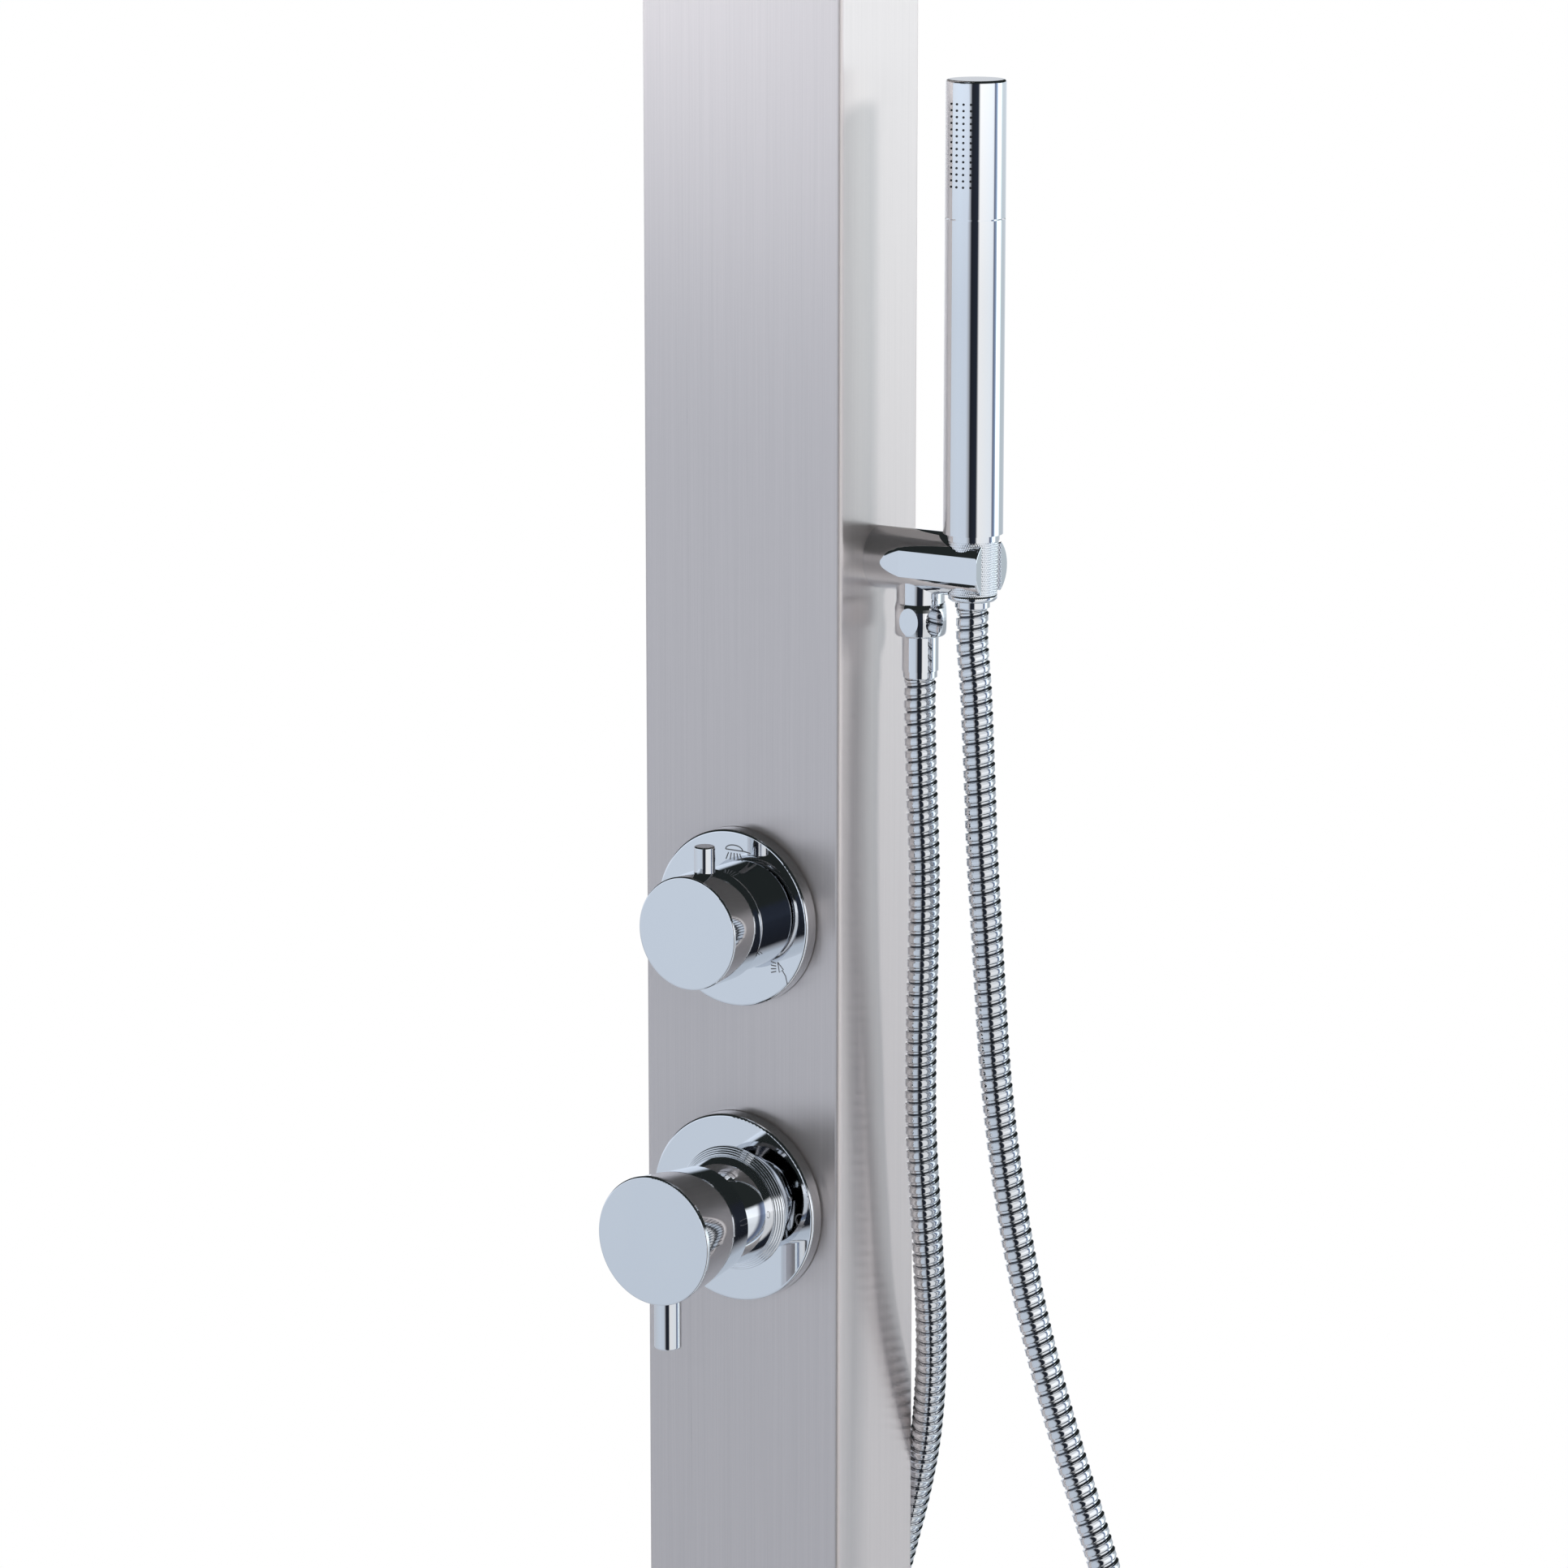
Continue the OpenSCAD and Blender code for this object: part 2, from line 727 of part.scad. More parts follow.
module diverter_cartridge() {
    top = diverter_neck_l + diverter_cap;
    color(ceramic) on_front(diverter_z) difference() {
        translate([0, 0, diverter_bore_low])
            cylinder(d = diverter_cartridge_d, h = top - diverter_bore_low);
        translate([0, 0, diverter_spindle_low - run_gap])
            cylinder(d = diverter_spindle_d + 2 * run_gap, h = top - diverter_spindle_low + over);
    }
}

module diverter_spindle() {
    top = diverter_face - diverter_spindle_back;
    color(brass) on_front(diverter_z) translate([0, 0, diverter_spindle_low])
        cylinder(d = diverter_spindle_d, h = top - diverter_spindle_low);
}

module diverter_sleeve() {
    r = diverter_sleeve_d / 2;
    recess = diverter_neck_l + diverter_cap + fit_gap;
    color(chrome) on_front(diverter_z) difference() {
        translate([0, 0, rosette_t])
            round_rim_disc(diverter_sleeve_d, sleeve_top - rosette_t, sleeve_shoulder);
        translate([0, 0, rosette_t - over])
            cylinder(d = diverter_neck_d + 2 * fit_gap, h = recess - rosette_t + over);
        cylinder(d = diverter_spindle_d + 2 * knob_clear, h = sleeve_top + over);
    }
}

// seat of the diverter's pin on top of its knob, pointing up
module diverter_pin_place(r) {
    translate([0, r, diverter_face - diverter_pin_back]) rotate([-90, 0, 0]) children();
}

module diverter_knob() {
    cavity_l = diverter_knob_l - diverter_front;
    socket_l = diverter_knob_l - diverter_spindle_back + fit_gap;
    r = diverter_knob_d / 2;
    color(chrome) on_front(diverter_z) difference() {
        translate([0, 0, diverter_rear]) round_rim_disc(diverter_knob_d, diverter_knob_l, edge_r);
        difference() {
            translate([0, 0, diverter_rear - over])
                cylinder(d = diverter_knob_d - 2 * diverter_wall, h = cavity_l + over);
            translate([0, 0, diverter_rear - 2 * over])
                cylinder(d = diverter_boss_d, h = diverter_knob_l);
            diverter_pin_place(0) cylinder(d = diverter_pin_pad_d, h = r);
        }
        translate([0, 0, diverter_rear - over])
            cylinder(d = diverter_spindle_d + 2 * fit_gap, h = socket_l + over);
        diverter_pin_place(0) cylinder(d = diverter_shank_d + 2 * fit_gap, h = r + over);
        diverter_pin_place(r - edge_r) cylinder(d = diverter_pin_d + 2 * fit_gap, h = r);
    }
}

module diverter_pin() {
    r = diverter_knob_d / 2;
    shank_low = diverter_spindle_d / 2 + fit_gap;
    color(chrome) on_front(diverter_z) {
        diverter_pin_place(r - edge_r)
            round_rim_disc(diverter_pin_d, edge_r + diverter_pin_l, edge_r);
        diverter_pin_place(shank_low) cylinder(d = diverter_shank_d, h = r - shank_low);
    }
}

module mixer_body() {
    color(brass) on_front(mixer_z)
        valve_block(mixer_block, mixer_neck_d, mixer_neck_l, cartridge_d + 2 * fit_gap,
                    mixer_bore_low, [-inlet_x, inlet_x], [0]);
}

module mixer_cartridge() {
    color(ceramic) on_front(mixer_z) difference() {
        union() {
            translate([0, 0, mixer_bore_low])
                cylinder(d = cartridge_d, h = rosette_t - mixer_bore_low);
            cylinder(d = turret_d, h = turret_top);
        }
        translate([0, 0, turret_floor])
            cylinder(d = carrier_d + 2 * run_gap, h = turret_top - turret_floor + over);
    }
}

module cartridge_nut() {
    color(brass) on_front(mixer_z) translate([0, 0, rosette_t])
        tube(cartridge_d, turret_d + 2 * fit_gap, mixer_neck_l - rosette_t);
}

// horizontal cross bore or pin through the lever's pivot
module pivot_cross(d, l) {
    translate([-l / 2, 0, pivot_t]) rotate([0, 90, 0]) cylinder(d = d, h = l);
}

module mixer_carrier() {
    slot = stem_w + 2 * carrier_slot_gap;
    color(ceramic) on_front(mixer_z) difference() {
        translate([0, 0, carrier_low]) cylinder(d = carrier_d, h = carrier_top - carrier_low);
        translate([-slot / 2, -carrier_d / 2 - over, carrier_slot_floor])
            cube([slot, carrier_d + 2 * over, carrier_top - carrier_slot_floor + over]);
        pivot_cross(pivot_pin_d, carrier_d + 2 * over);
    }
}

module carrier_pin() {
    color(steel) on_front(mixer_z) pivot_cross(pivot_pin_d, pivot_pin_l);
}

module mixer_stem() {
    top = mixer_face - stem_top_back;
    color(brass) on_front(mixer_z) difference() {
        union() {
            pivot_cross(stem_w, stem_w);
            translate([-stem_w / 2, -stem_w / 2, pivot_t]) cube([stem_w, stem_w, top - pivot_t]);
        }
        pivot_cross(pivot_pin_d + 2 * fit_gap, stem_w + 2 * over);
    }
}

// bonnet with three stepped rings under a hemispherical dome
module mixer_dome() {
    r = dome_d / 2;
    neck_r = mixer_neck_d / 2 + fit_gap;
    steps = len(dome_width_share);
    color(chrome) on_front(mixer_z) translate([0, 0, rosette_t]) difference() {
        union() {
            for (k = [0:steps - 1])
                cylinder(d = dome_ring_d * dome_width_share[k],
                         h = dome_step_h * dome_height_share[k]);
            cylinder(r = r, h = dome_base);
            translate([0, 0, dome_base]) sphere(r);
        }
        translate([0, 0, -dome_d]) cylinder(d = dome_d + 2 * over, h = dome_d);
        translate([0, 0, -over]) cylinder(r = neck_r, h = dome_base + 2 * over);
        translate([0, 0, dome_base]) intersection() {
            sphere(r - dome_wall);
            cylinder(r = r, h = r);
        }
        translate([0, 0, dome_base]) cylinder(d = dome_hole_d, h = dome_d);
    }
}

// distance from the knob's axis to its skirt's outside at height t
function skirt_r(t) = mixer_knob_rear_d / 2
    + (mixer_knob_d - mixer_knob_rear_d) / 2 * (t - mixer_rear) / mixer_knob_l;

// place of the lever pin under the mixer knob, pointing down
module lever_pin_place(r) {
    translate([0, -r, lever_t]) rotate([90, 0, 0]) children();
}

module mixer_knob() {
    socket_w = stem_w + 2 * fit_gap;
    cone_l = mixer_knob_l - edge_r;
    rear_r = mixer_knob_rear_d / 2;
    cavity_l = mixer_knob_l - mixer_front;
    color(chrome) on_front(mixer_z) difference() {
        union() {
            translate([0, 0, mixer_rear])
                cylinder(r1 = rear_r, r2 = skirt_r(mixer_face - edge_r), h = cone_l);
            translate([0, 0, mixer_face - 2 * edge_r])
                round_rim_disc(mixer_knob_d, 2 * edge_r, edge_r);
        }
        difference() {
            translate([0, 0, mixer_rear - over])
                cylinder(r1 = skirt_r(mixer_rear - over) - mixer_knob_wall,
                         r2 = skirt_r(mixer_face - mixer_front) - mixer_knob_wall,
                         h = cavity_l + over);
            translate([0, 0, mixer_face - mixer_boss_back])
                cylinder(d = mixer_boss_d, h = mixer_boss_back);
            lever_pin_place(0) cylinder(d = lever_pad_d, h = lever_seat_r);
        }
        translate([-socket_w / 2, -socket_w / 2, mixer_rear])
            cube([socket_w, socket_w, mixer_knob_l - stem_top_back + fit_gap]);
        lever_pin_place(0) cylinder(d = lever_shank_d + 2 * fit_gap, h = mixer_knob_d);
        lever_pin_place(lever_seat_r) cylinder(d = lever_pin_d + 2 * fit_gap, h = mixer_knob_d);
    }
}

module lever_pin() {
    shank_low = stem_w / 2 + fit_gap;
    color(chrome) on_front(mixer_z) {
        lever_pin_place(lever_seat_r)
            round_rim_disc(lever_pin_d, edge_r + lever_pin_l, edge_r);
        lever_pin_place(shank_low) cylinder(d = lever_shank_d, h = lever_seat_r);
    }
}

// Inlets and pipes

// hex-flanged nipple through the rear sheet at side s
module inlet(s) {
    inner_l = column_wall + inlet_inner_l;
    color(brass) translate([s * inlet_x, rear_y, inlet_z]) rotate([-90, 0, 0]) difference() {
        union() {
            translate([0, 0, -inner_l])
                cylinder(d = thread_d, h = inner_l + inlet_collar_t + inlet_l);
            cylinder(d = inlet_af / cos(30), h = inlet_collar_t, $fn = 6);
        }
        translate([0, 0, -inner_l - over])
            cylinder(d = inlet_bore_d, h = inner_l + inlet_collar_t + inlet_l + 2 * over);
    }
}

module hot_inlet() {
    inlet(-1);
}

module cold_inlet() {
    inlet(1);
}

module inlet_elbows() {
    w = elbow_block[0];
    h = elbow_block[2];
    back_y = rear_y - column_wall;
    color(brass) for (s = [-1, 1]) translate([s * inlet_x, 0, inlet_z]) difference() {
        translate([-w / 2, back_y - elbow_block[1], -w / 2]) cube([w, elbow_block[1], h]);
        translate([0, back_y + over, 0]) rotate([90, 0, 0])
            cylinder(d = thread_d + 2 * fit_gap, h = inlet_inner_l + fit_gap + over);
        translate([0, 0, h - w / 2 - port_l])
            cylinder(d = pipe_d + 2 * fit_gap, h = port_l + over);
    }
}

// straight upright pipe between two sockets
module riser(x, low, high) {
    translate([x, 0, low]) tube(pipe_d, pipe_d - 2 * pipe_wall, high - low);
}

module hot_pipe() {
    color(brass) riser(-inlet_x, elbow_top_z - port_reach, mixer_low_z + port_reach);
}

module cold_pipe() {
    color(brass) riser(inlet_x, elbow_top_z - port_reach, mixer_low_z + port_reach);
}

module mixed_pipe() {
    color(brass) riser(0, mixer_high_z - port_reach, diverter_low_z + port_reach);
}

module riser_pipe() {
    color(brass) riser(-side_port_x, diverter_high_z - port_reach,
                       arm_z - arm_d / 2 - port_l + port_reach);
}

// pipe from the diverter up and to the right into the holder's shank
module handset_pipe() {
    bore = pipe_d - 2 * pipe_wall;
    low = diverter_high_z - port_reach;
    bend_z = holder_z - pipe_bend_r;
    run_x = side_port_x + pipe_bend_r;
    run_l = side_x - shank_l + shank_socket - fit_gap - run_x;
    color(brass) {
        riser(side_port_x, low, bend_z);
        translate([side_port_x, 0, bend_z]) difference() {
            bend_right(pipe_bend_r, pipe_d);
            bend_right(pipe_bend_r, bore);
        }
        translate([run_x, 0, holder_z]) rotate([0, 90, 0]) tube(pipe_d, bore, run_l);
    }
}

// Handset holder and outlet

// radius of the cradle nut's taper at height z above the holder's axis
function nut_r(z) = cradle_nut_low_d / 2
    + (cradle_nut_d - cradle_nut_low_d) / 2
    * (z - cradle_rise + cradle_nut_h) / cradle_nut_h;

module holder_flat() {
    r = holder_d / 2;
    start = side_x + flat_start;
    linear_extrude(holder_d, center = true) polygon([
        [start, -r], [start + flat_ramp, flat_depth - r],
        [holder_end_x + over, flat_depth - r], [holder_end_x + over, -r - over],
        [start, -r - over]
    ]);
}

module handset_holder() {
    r = holder_d / 2;
    bottom = -r - over;
    sink_r = nut_r(r - seat_sink) + seat_gap;
    color(chrome) translate([0, 0, holder_z]) difference() {
        union() {
            translate([side_x, 0, 0]) rotate([0, 90, 0]) round_rim_disc(holder_d, holder_l, edge_r);
            translate([side_x - shank_l, 0, 0]) rotate([0, 90, 0])
                cylinder(d = thread_d, h = shank_l + over);
            translate([outlet_x, 0, -r - outlet_l]) cylinder(d = outlet_d, h = r + outlet_l);
            translate([outlet_x, 0, -r - outlet_l - nipple_l])
                cylinder(d = thread_d, h = nipple_l + over);
        }
        translate([side_x - shank_l - over, 0, 0]) rotate([0, 90, 0])
            cylinder(d = water_d, h = shank_l + over + outlet_reach);
        translate([side_x - shank_l - over, 0, 0]) rotate([0, 90, 0])
            cylinder(d = pipe_d + 2 * fit_gap, h = shank_socket + over);
        translate([outlet_x, 0, -r - outlet_l - nipple_l - over])
            cylinder(d = water_d, h = r + outlet_l + nipple_l + over);
        translate([seat_x, 0, bottom])
            cylinder(r1 = nut_r(bottom) + seat_gap, r2 = nut_r(r + over) + seat_gap,
                     h = 2 * r + 2 * over);
        translate([seat_x, 0, r - seat_sink - over])
            cylinder(r1 = sink_r - over, r2 = sink_r + seat_sink + over,
                     h = seat_sink + 2 * over);
        translate([seat_x, -fork_slot / 2, bottom])
            cube([holder_l, fork_slot, holder_d + 2 * over]);
        holder_flat();
    }
}

module holder_locknut() {
    color(brass) translate([side_x - column_wall - locknut_t, 0, holder_z]) rotate([0, 90, 0])
        hex_ring(locknut_af, thread_d + 2 * fit_gap, locknut_t);
}

module outlet_washer() {
    color(rubber) translate([outlet_x, 0, outlet_nut_top - nipple_l - washer_t])
        tube(washer_d, nipple_bore_d, washer_t);
}

// barrel-shaped nut with a rounded foot and six milled flats
module outlet_nut() {
    r = hose_nut_d / 2;
    rise = hose_nut_h / 2 - nut_foot_r;
    foot_r = r - barrel_r + sqrt(barrel_r * barrel_r - rise * rise) - nut_foot_r;
    cup = nipple_l + washer_t + flange_t;
    color(chrome) translate([outlet_x, 0, outlet_nut_low]) difference() {
        intersection() {
            rotate_extrude() intersection() {
                translate([r - barrel_r, hose_nut_h / 2]) circle(barrel_r);
                union() {
                    translate([0, nut_foot_r]) square([r, hose_nut_h - nut_foot_r]);
                    square([foot_r, hose_nut_h]);
                    translate([foot_r, nut_foot_r]) circle(nut_foot_r);
                }
            }
            rotate(nut_turn) cylinder(d = hose_nut_af / cos(30), h = hose_nut_h, $fn = 6);
        }
        translate([0, 0, -over]) cylinder(d = ferrule_d + 2 * fit_gap, h = hose_nut_h);
        translate([0, 0, hose_nut_h - cup])
            cylinder(d = thread_d + 2 * fit_gap, h = cup + over);
    }
}

// crimped hose end with a flange that its nut holds, from z up
module hose_end(z, outer, length, inner_l) {
    translate([0, 0, z]) {
        tube(collar_d, hose_bore, collar_l);
        translate([0, 0, collar_l]) tube(outer, hose_bore, length + inner_l);
        translate([0, 0, collar_l + length + inner_l - flange_t])
            tube(washer_d, hose_bore, flange_t);
    }
}

module outlet_ferrule() {
    color(chrome) translate([outlet_x, 0, 0])
        hose_end(outlet_hose_z, ferrule_d, ferrule_l, hose_nut_h - nipple_l - washer_t);
}

// Hose

// the two runs' points, from each fitting down to the bottom of the loop
outlet_route = [
    [74, 0, 1198], [74, 0, 1180], [75, 0, 1150], [76, 1, 1110], [75, 2, 1070], [73, 4, 1030],
    [72, 6, 990], [72, 9, 960], [72, 13, 925], [70, 19, 895], [65, 27, 865], [57, 36, 832],
    [46, 45, 800], [33, 53, 766], [20, 60, 730], [11, 66, 690], [8, 70, 648], [12, 71, 614],
    [23, 69, 589], [38, 67, 571], [52, 64, 560], [68, 62, 553], [87, 59, 550]
];
handset_route = [
    [101, 0, 1232], [101, 0, 1216], [103, 0, 1195], [105, 0, 1160], [107, 0, 1120],
    [109, 1, 1085], [111, 2, 1050], [113, 3, 1020], [117, 4, 985], [122, 6, 950],
    [129, 8, 915], [138, 10, 880], [148, 13, 845], [159, 16, 810], [170, 20, 772],
    [178, 25, 733], [181, 30, 693], [175, 37, 642], [159, 44, 602], [139, 50, 575],
    [119, 54, 559], [102, 57, 552], [87, 59, 550]
];
route_steps = 8;
hose_sides = 8;
bore_every = 4;

// smooth curve through the points, past whose last one it heads for beyond
function curve_point(p0, p1, p2, p3, t) =
    (2 * p1 + (p2 - p0) * t + (2 * p0 - 5 * p1 + 4 * p2 - p3) * t * t
     + (3 * p1 - p0 - 3 * p2 + p3) * t * t * t) / 2;
function smooth(p, beyond) = let (
    last = len(p) - 1,
    q = concat([2 * p[0] - p[1]], p, [beyond])
) concat([for (i = [1:last], k = [0:route_steps - 1])
    curve_point(q[i - 1], q[i], q[i + 1], q[i + 2], k / route_steps)], [p[last]]);
function run_lengths(c, i = 1, so_far = [0]) = i == len(c) ? so_far
    : run_lengths(c, i + 1, concat(so_far, [so_far[i - 1] + norm(c[i] - c[i - 1])]));
// the point at distance s along the curve c, whose lengths are l
function along(c, l, s, i = 1) = i == len(c) - 1 || l[i] >= s
    ? c[i - 1] + (c[i] - c[i - 1]) * (s - l[i - 1]) / (l[i] - l[i - 1])
    : along(c, l, s, i + 1);
// points at equal distances along the curve
function resample(c, count) = let (l = run_lengths(c), total = l[len(l) - 1])
    [for (k = [0:count]) along(c, l, total * k / count)];
function unit(v) = v / norm(v);
function rib_r(i) = hose_d / 2 - (i % 2 == 0 ? rib_depth : 0);
// ring of points round centre line point i; the first ring is square to the
// fitting above it and the last one to the line that crosses the loop's bottom
function ring(p, i, r, across) = let (
    last = len(p) - 1,
    t = i == 0 ? [0, 0, -1] : i == last ? across : unit(p[i + 1] - p[i - 1]),
    side = unit(cross([0, 1, 0], t)),
    up = cross(t, side)
) [for (k = [0:hose_sides - 1])
    p[i] + r * (cos(360 * k / hose_sides) * side + sin(360 * k / hose_sides) * up)];

// faces between rings of points that follow each other, turned inwards if asked
function skin(start, rings, inward) = [for (i = [0:rings - 2], k = [0:hose_sides - 1])
    let (
        a = start + i * hose_sides + k,
        b = start + i * hose_sides + (k + 1) % hose_sides,
        c = a + hose_sides,
        d = b + hose_sides
    ) each inward ? [[a, b, d], [a, d, c]] : [[a, d, b], [a, c, d]]];
function lid(outer, inner, flip) = [for (k = [0:hose_sides - 1])
    let (n = (k + 1) % hose_sides) each flip
        ? [[outer + k, inner + n, outer + n], [outer + k, inner + k, inner + n]]
        : [[outer + k, outer + n, inner + n], [outer + k, inner + n, inner + k]]];

// ribbed tube with a bore: two rings for each rib, one in its groove and one
// on its crest
module ribbed_hose(route, beyond) {
    c = smooth(route, beyond);
    across = unit(beyond - route[len(route) - 2]);
    ribs = floor(run_lengths(c)[len(c) - 1] / rib_pitch / bore_every * 2) * bore_every / 2;
    rings = 2 * ribs + 1;
    p = resample(c, rings - 1);
    bore_rings = (rings - 1) / bore_every + 1;
    outer = [for (i = [0:rings - 1]) each ring(p, i, rib_r(i), across)];
    bore = [for (i = [0:bore_rings - 1]) each ring(p, i * bore_every, hose_bore / 2, across)];
    first_bore = len(outer);
    last_bore = first_bore + (bore_rings - 1) * hose_sides;
    polyhedron(
        points = concat(outer, bore),
        faces = concat(
            skin(0, rings, false), skin(first_bore, bore_rings, true),
            lid(0, first_bore, false), lid(first_bore - hose_sides, last_bore, true)
        )
    );
}

outlet_curve = smooth(outlet_route, handset_route[len(handset_route) - 2]);
handset_curve = smooth(handset_route, outlet_route[len(outlet_route) - 2]);
outlet_run_l = run_lengths(outlet_curve)[len(outlet_curve) - 1];
handset_run_l = run_lengths(handset_curve)[len(handset_curve) - 1];
// the runs part company at the top, so the gap is read above the loop
upper_share = 0.7;
upper_outlet = [for (i = [0:floor(upper_share * len(outlet_curve))]) outlet_curve[i]];
upper_handset = [for (i = [0:floor(upper_share * len(handset_curve))]) handset_curve[i]];
hose_gap = min([for (a = upper_outlet, b = upper_handset) norm(a - b)]) - hose_d;
echo(hose_length = outlet_run_l + handset_run_l, least_gap_between_runs = hose_gap);

module hose_outlet_run() {
    color(chrome) ribbed_hose(outlet_route, handset_route[len(handset_route) - 2]);
}

module hose_handset_run() {
    color(chrome) ribbed_hose(handset_route, outlet_route[len(outlet_route) - 2]);
}

module handset_ferrule() {
    inner_l = cradle_nut_h - nipple_l - washer_t;
    color(chrome) translate([seat_x, 0, 0]) hose_end(handset_hose_z, collar_d, 0, inner_l);
}

module handset_washer() {
    color(rubber) translate([seat_x, 0, cradle_top_z - nipple_l - washer_t])
        tube(washer_d, nipple_bore_d, washer_t);
}

module cradle_nut() {
    cup = nipple_l + washer_t + flange_t;
    low_r = cradle_nut_low_d / 2;
    color(chrome) translate([seat_x, 0, cradle_low_z]) difference() {
        union() {
            cylinder(r1 = low_r - cradle_nut_chamfer, r2 = low_r, h = cradle_nut_chamfer);
            translate([0, 0, cradle_nut_chamfer])
                cylinder(r1 = low_r, r2 = cradle_nut_d / 2, h = cradle_nut_h - cradle_nut_chamfer);
        }
        translate([0, 0, -over]) cylinder(d = collar_d + 2 * fit_gap, h = cradle_nut_h);
        translate([0, 0, cradle_nut_h - cup])
            cylinder(d = thread_d + 2 * fit_gap, h = cup + over);
    }
}

// Handset

// stepped ring with the threaded nipple below and a spigot in the grip above
module handset_end_ring() {
    color(chrome) translate([seat_x, 0, cradle_top_z]) difference() {
        union() {
            translate([0, 0, -nipple_l]) cylinder(d = thread_d, h = nipple_l + over);
            cylinder(d = end_ring_d, h = end_ring_h);
            translate([0, 0, end_ring_h - over])
                cylinder(d = handset_in_d - 2 * fit_gap, h = grip_spigot + over);
        }
        translate([0, 0, -nipple_l - over])
            cylinder(d = nipple_bore_d, h = nipple_l + end_ring_h + grip_spigot + 2 * over);
    }
}

module handset_grip() {
    length = handset_l - handset_head_l - seam_gap;
    color(chrome) translate([seat_x, 0, grip_low]) {
        tube(handset_d, handset_in_d, length);
        translate([0, 0, length - grip_spigot])
            tube(handset_in_d - 2 * fit_gap, nipple_bore_d, 2 * grip_spigot);
        translate([0, 0, length - grip_spigot])
            tube(handset_d - handset_wall, nipple_bore_d, grip_spigot);
    }
}

// places its children at each nub, pointing outwards from the handset's axis
module spray_pattern() {
    for (row = [0:spray_rows - 1], col = [0:spray_cols - 1])
        rotate((col - (spray_cols - 1) / 2) * spray_step)
            translate([0, 0, handset_top - spray_top - row * spray_pitch])
                rotate([90, 0, 0]) children();
}

module handset_head() {
    color(chrome) translate([seat_x, 0, 0]) difference() {
        translate([0, 0, head_tube_low])
            round_rim_disc(handset_d, handset_head_l, handset_top_r);
        translate([0, 0, head_tube_low - over])
            cylinder(d = handset_in_d, h = handset_head_l - handset_top_t + over);
        spray_pattern() cylinder(d = nub_d + 2 * fit_gap, h = handset_d, $fn = 24);
    }
}

module handset_nozzles() {
    half_angle = spray_cols * spray_step / 2;
    strip_l = (spray_rows - 1) * spray_pitch + 2 * strip_margin;
    strip_r = handset_in_d / 2 - fit_gap - strip_t;
    color(silicone) translate([seat_x, 0, 0]) {
        translate([0, 0, handset_top - spray_top - strip_l + strip_margin])
            rotate(-90 - half_angle) rotate_extrude(angle = 2 * half_angle)
                translate([strip_r, 0]) square([strip_t, strip_l]);
        spray_pattern() translate([0, 0, strip_r + strip_t / 2])
            cylinder(d = nub_d, h = handset_d / 2 + nub_h - strip_r - strip_t / 2, $fn = 24);
    }
}

column();
base_plate();
base_weld();
top_cap();
head_arm();
arm_rosette();
arm_locknut();
arm_elbow();
swivel_nut();
ball_seat();
head_ball();
head_shell();
head_plate();
head_nozzles();
diverter_body();
diverter_cartridge();
diverter_spindle();
diverter_rosette();
diverter_seal();
diverter_sleeve();
diverter_knob();
diverter_pin();
mixer_body();
mixer_cartridge();
cartridge_nut();
mixer_carrier();
carrier_pin();
mixer_stem();
mixer_rosette();
mixer_seal();
mixer_dome();
mixer_knob();
lever_pin();
hot_inlet();
cold_inlet();
inlet_elbows();
hot_pipe();
cold_pipe();
mixed_pipe();
riser_pipe();
handset_pipe();
handset_holder();
holder_locknut();
outlet_washer();
outlet_nut();
outlet_ferrule();
hose_outlet_run();
hose_handset_run();
handset_ferrule();
handset_washer();
cradle_nut();
handset_end_ring();
handset_grip();
handset_head();
handset_nozzles();
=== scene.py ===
"""Looks of a free-standing outdoor shower column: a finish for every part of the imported
model, and the ribbed hose, the knurled nut, the mixer's ringed bonnet and the engraved
signs as modelled pieces.

Everything is in metres in the part's own frame: +Z is up, the controls face -Y and the
handset hangs on the +X side. MM turns a size in millimetres into metres.
"""

import math

import bmesh
import bpy
import numpy as np
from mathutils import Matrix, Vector


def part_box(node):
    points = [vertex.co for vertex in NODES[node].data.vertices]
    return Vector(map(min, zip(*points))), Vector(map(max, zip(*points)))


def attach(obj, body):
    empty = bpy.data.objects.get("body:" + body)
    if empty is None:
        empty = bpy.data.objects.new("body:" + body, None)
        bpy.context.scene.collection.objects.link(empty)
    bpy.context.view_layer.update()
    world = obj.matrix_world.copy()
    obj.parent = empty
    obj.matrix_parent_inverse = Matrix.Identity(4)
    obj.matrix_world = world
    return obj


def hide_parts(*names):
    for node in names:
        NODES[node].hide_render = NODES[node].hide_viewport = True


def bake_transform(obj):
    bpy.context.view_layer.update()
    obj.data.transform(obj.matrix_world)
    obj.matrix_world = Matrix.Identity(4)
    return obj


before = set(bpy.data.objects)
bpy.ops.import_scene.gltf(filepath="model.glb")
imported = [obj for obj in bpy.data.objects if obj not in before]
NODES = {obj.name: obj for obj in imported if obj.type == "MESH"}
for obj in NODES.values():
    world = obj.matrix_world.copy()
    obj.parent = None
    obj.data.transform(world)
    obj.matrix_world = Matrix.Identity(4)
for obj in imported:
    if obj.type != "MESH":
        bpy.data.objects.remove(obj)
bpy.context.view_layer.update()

MM = 0.001
Y_AXIS, Z_AXIS = np.eye(3)[1:]


# Camera ----------------------------------------------------------------------------

LOOK_TURN = math.radians(33.3)  # from the column's front towards the handset's side
LOOK_LIFT = math.radians(12.1)  # above the horizontal
LOOK_DISTANCE = 2.5
LOOK_SIDE = 1.6 * MM  # the aim's distance to the right of the column's axis
LOOK_HEIGHT = 1.1404
LOOK_END = 100  # nothing further away is seen
LENS_MM = 126.8
FILM_MM = 36

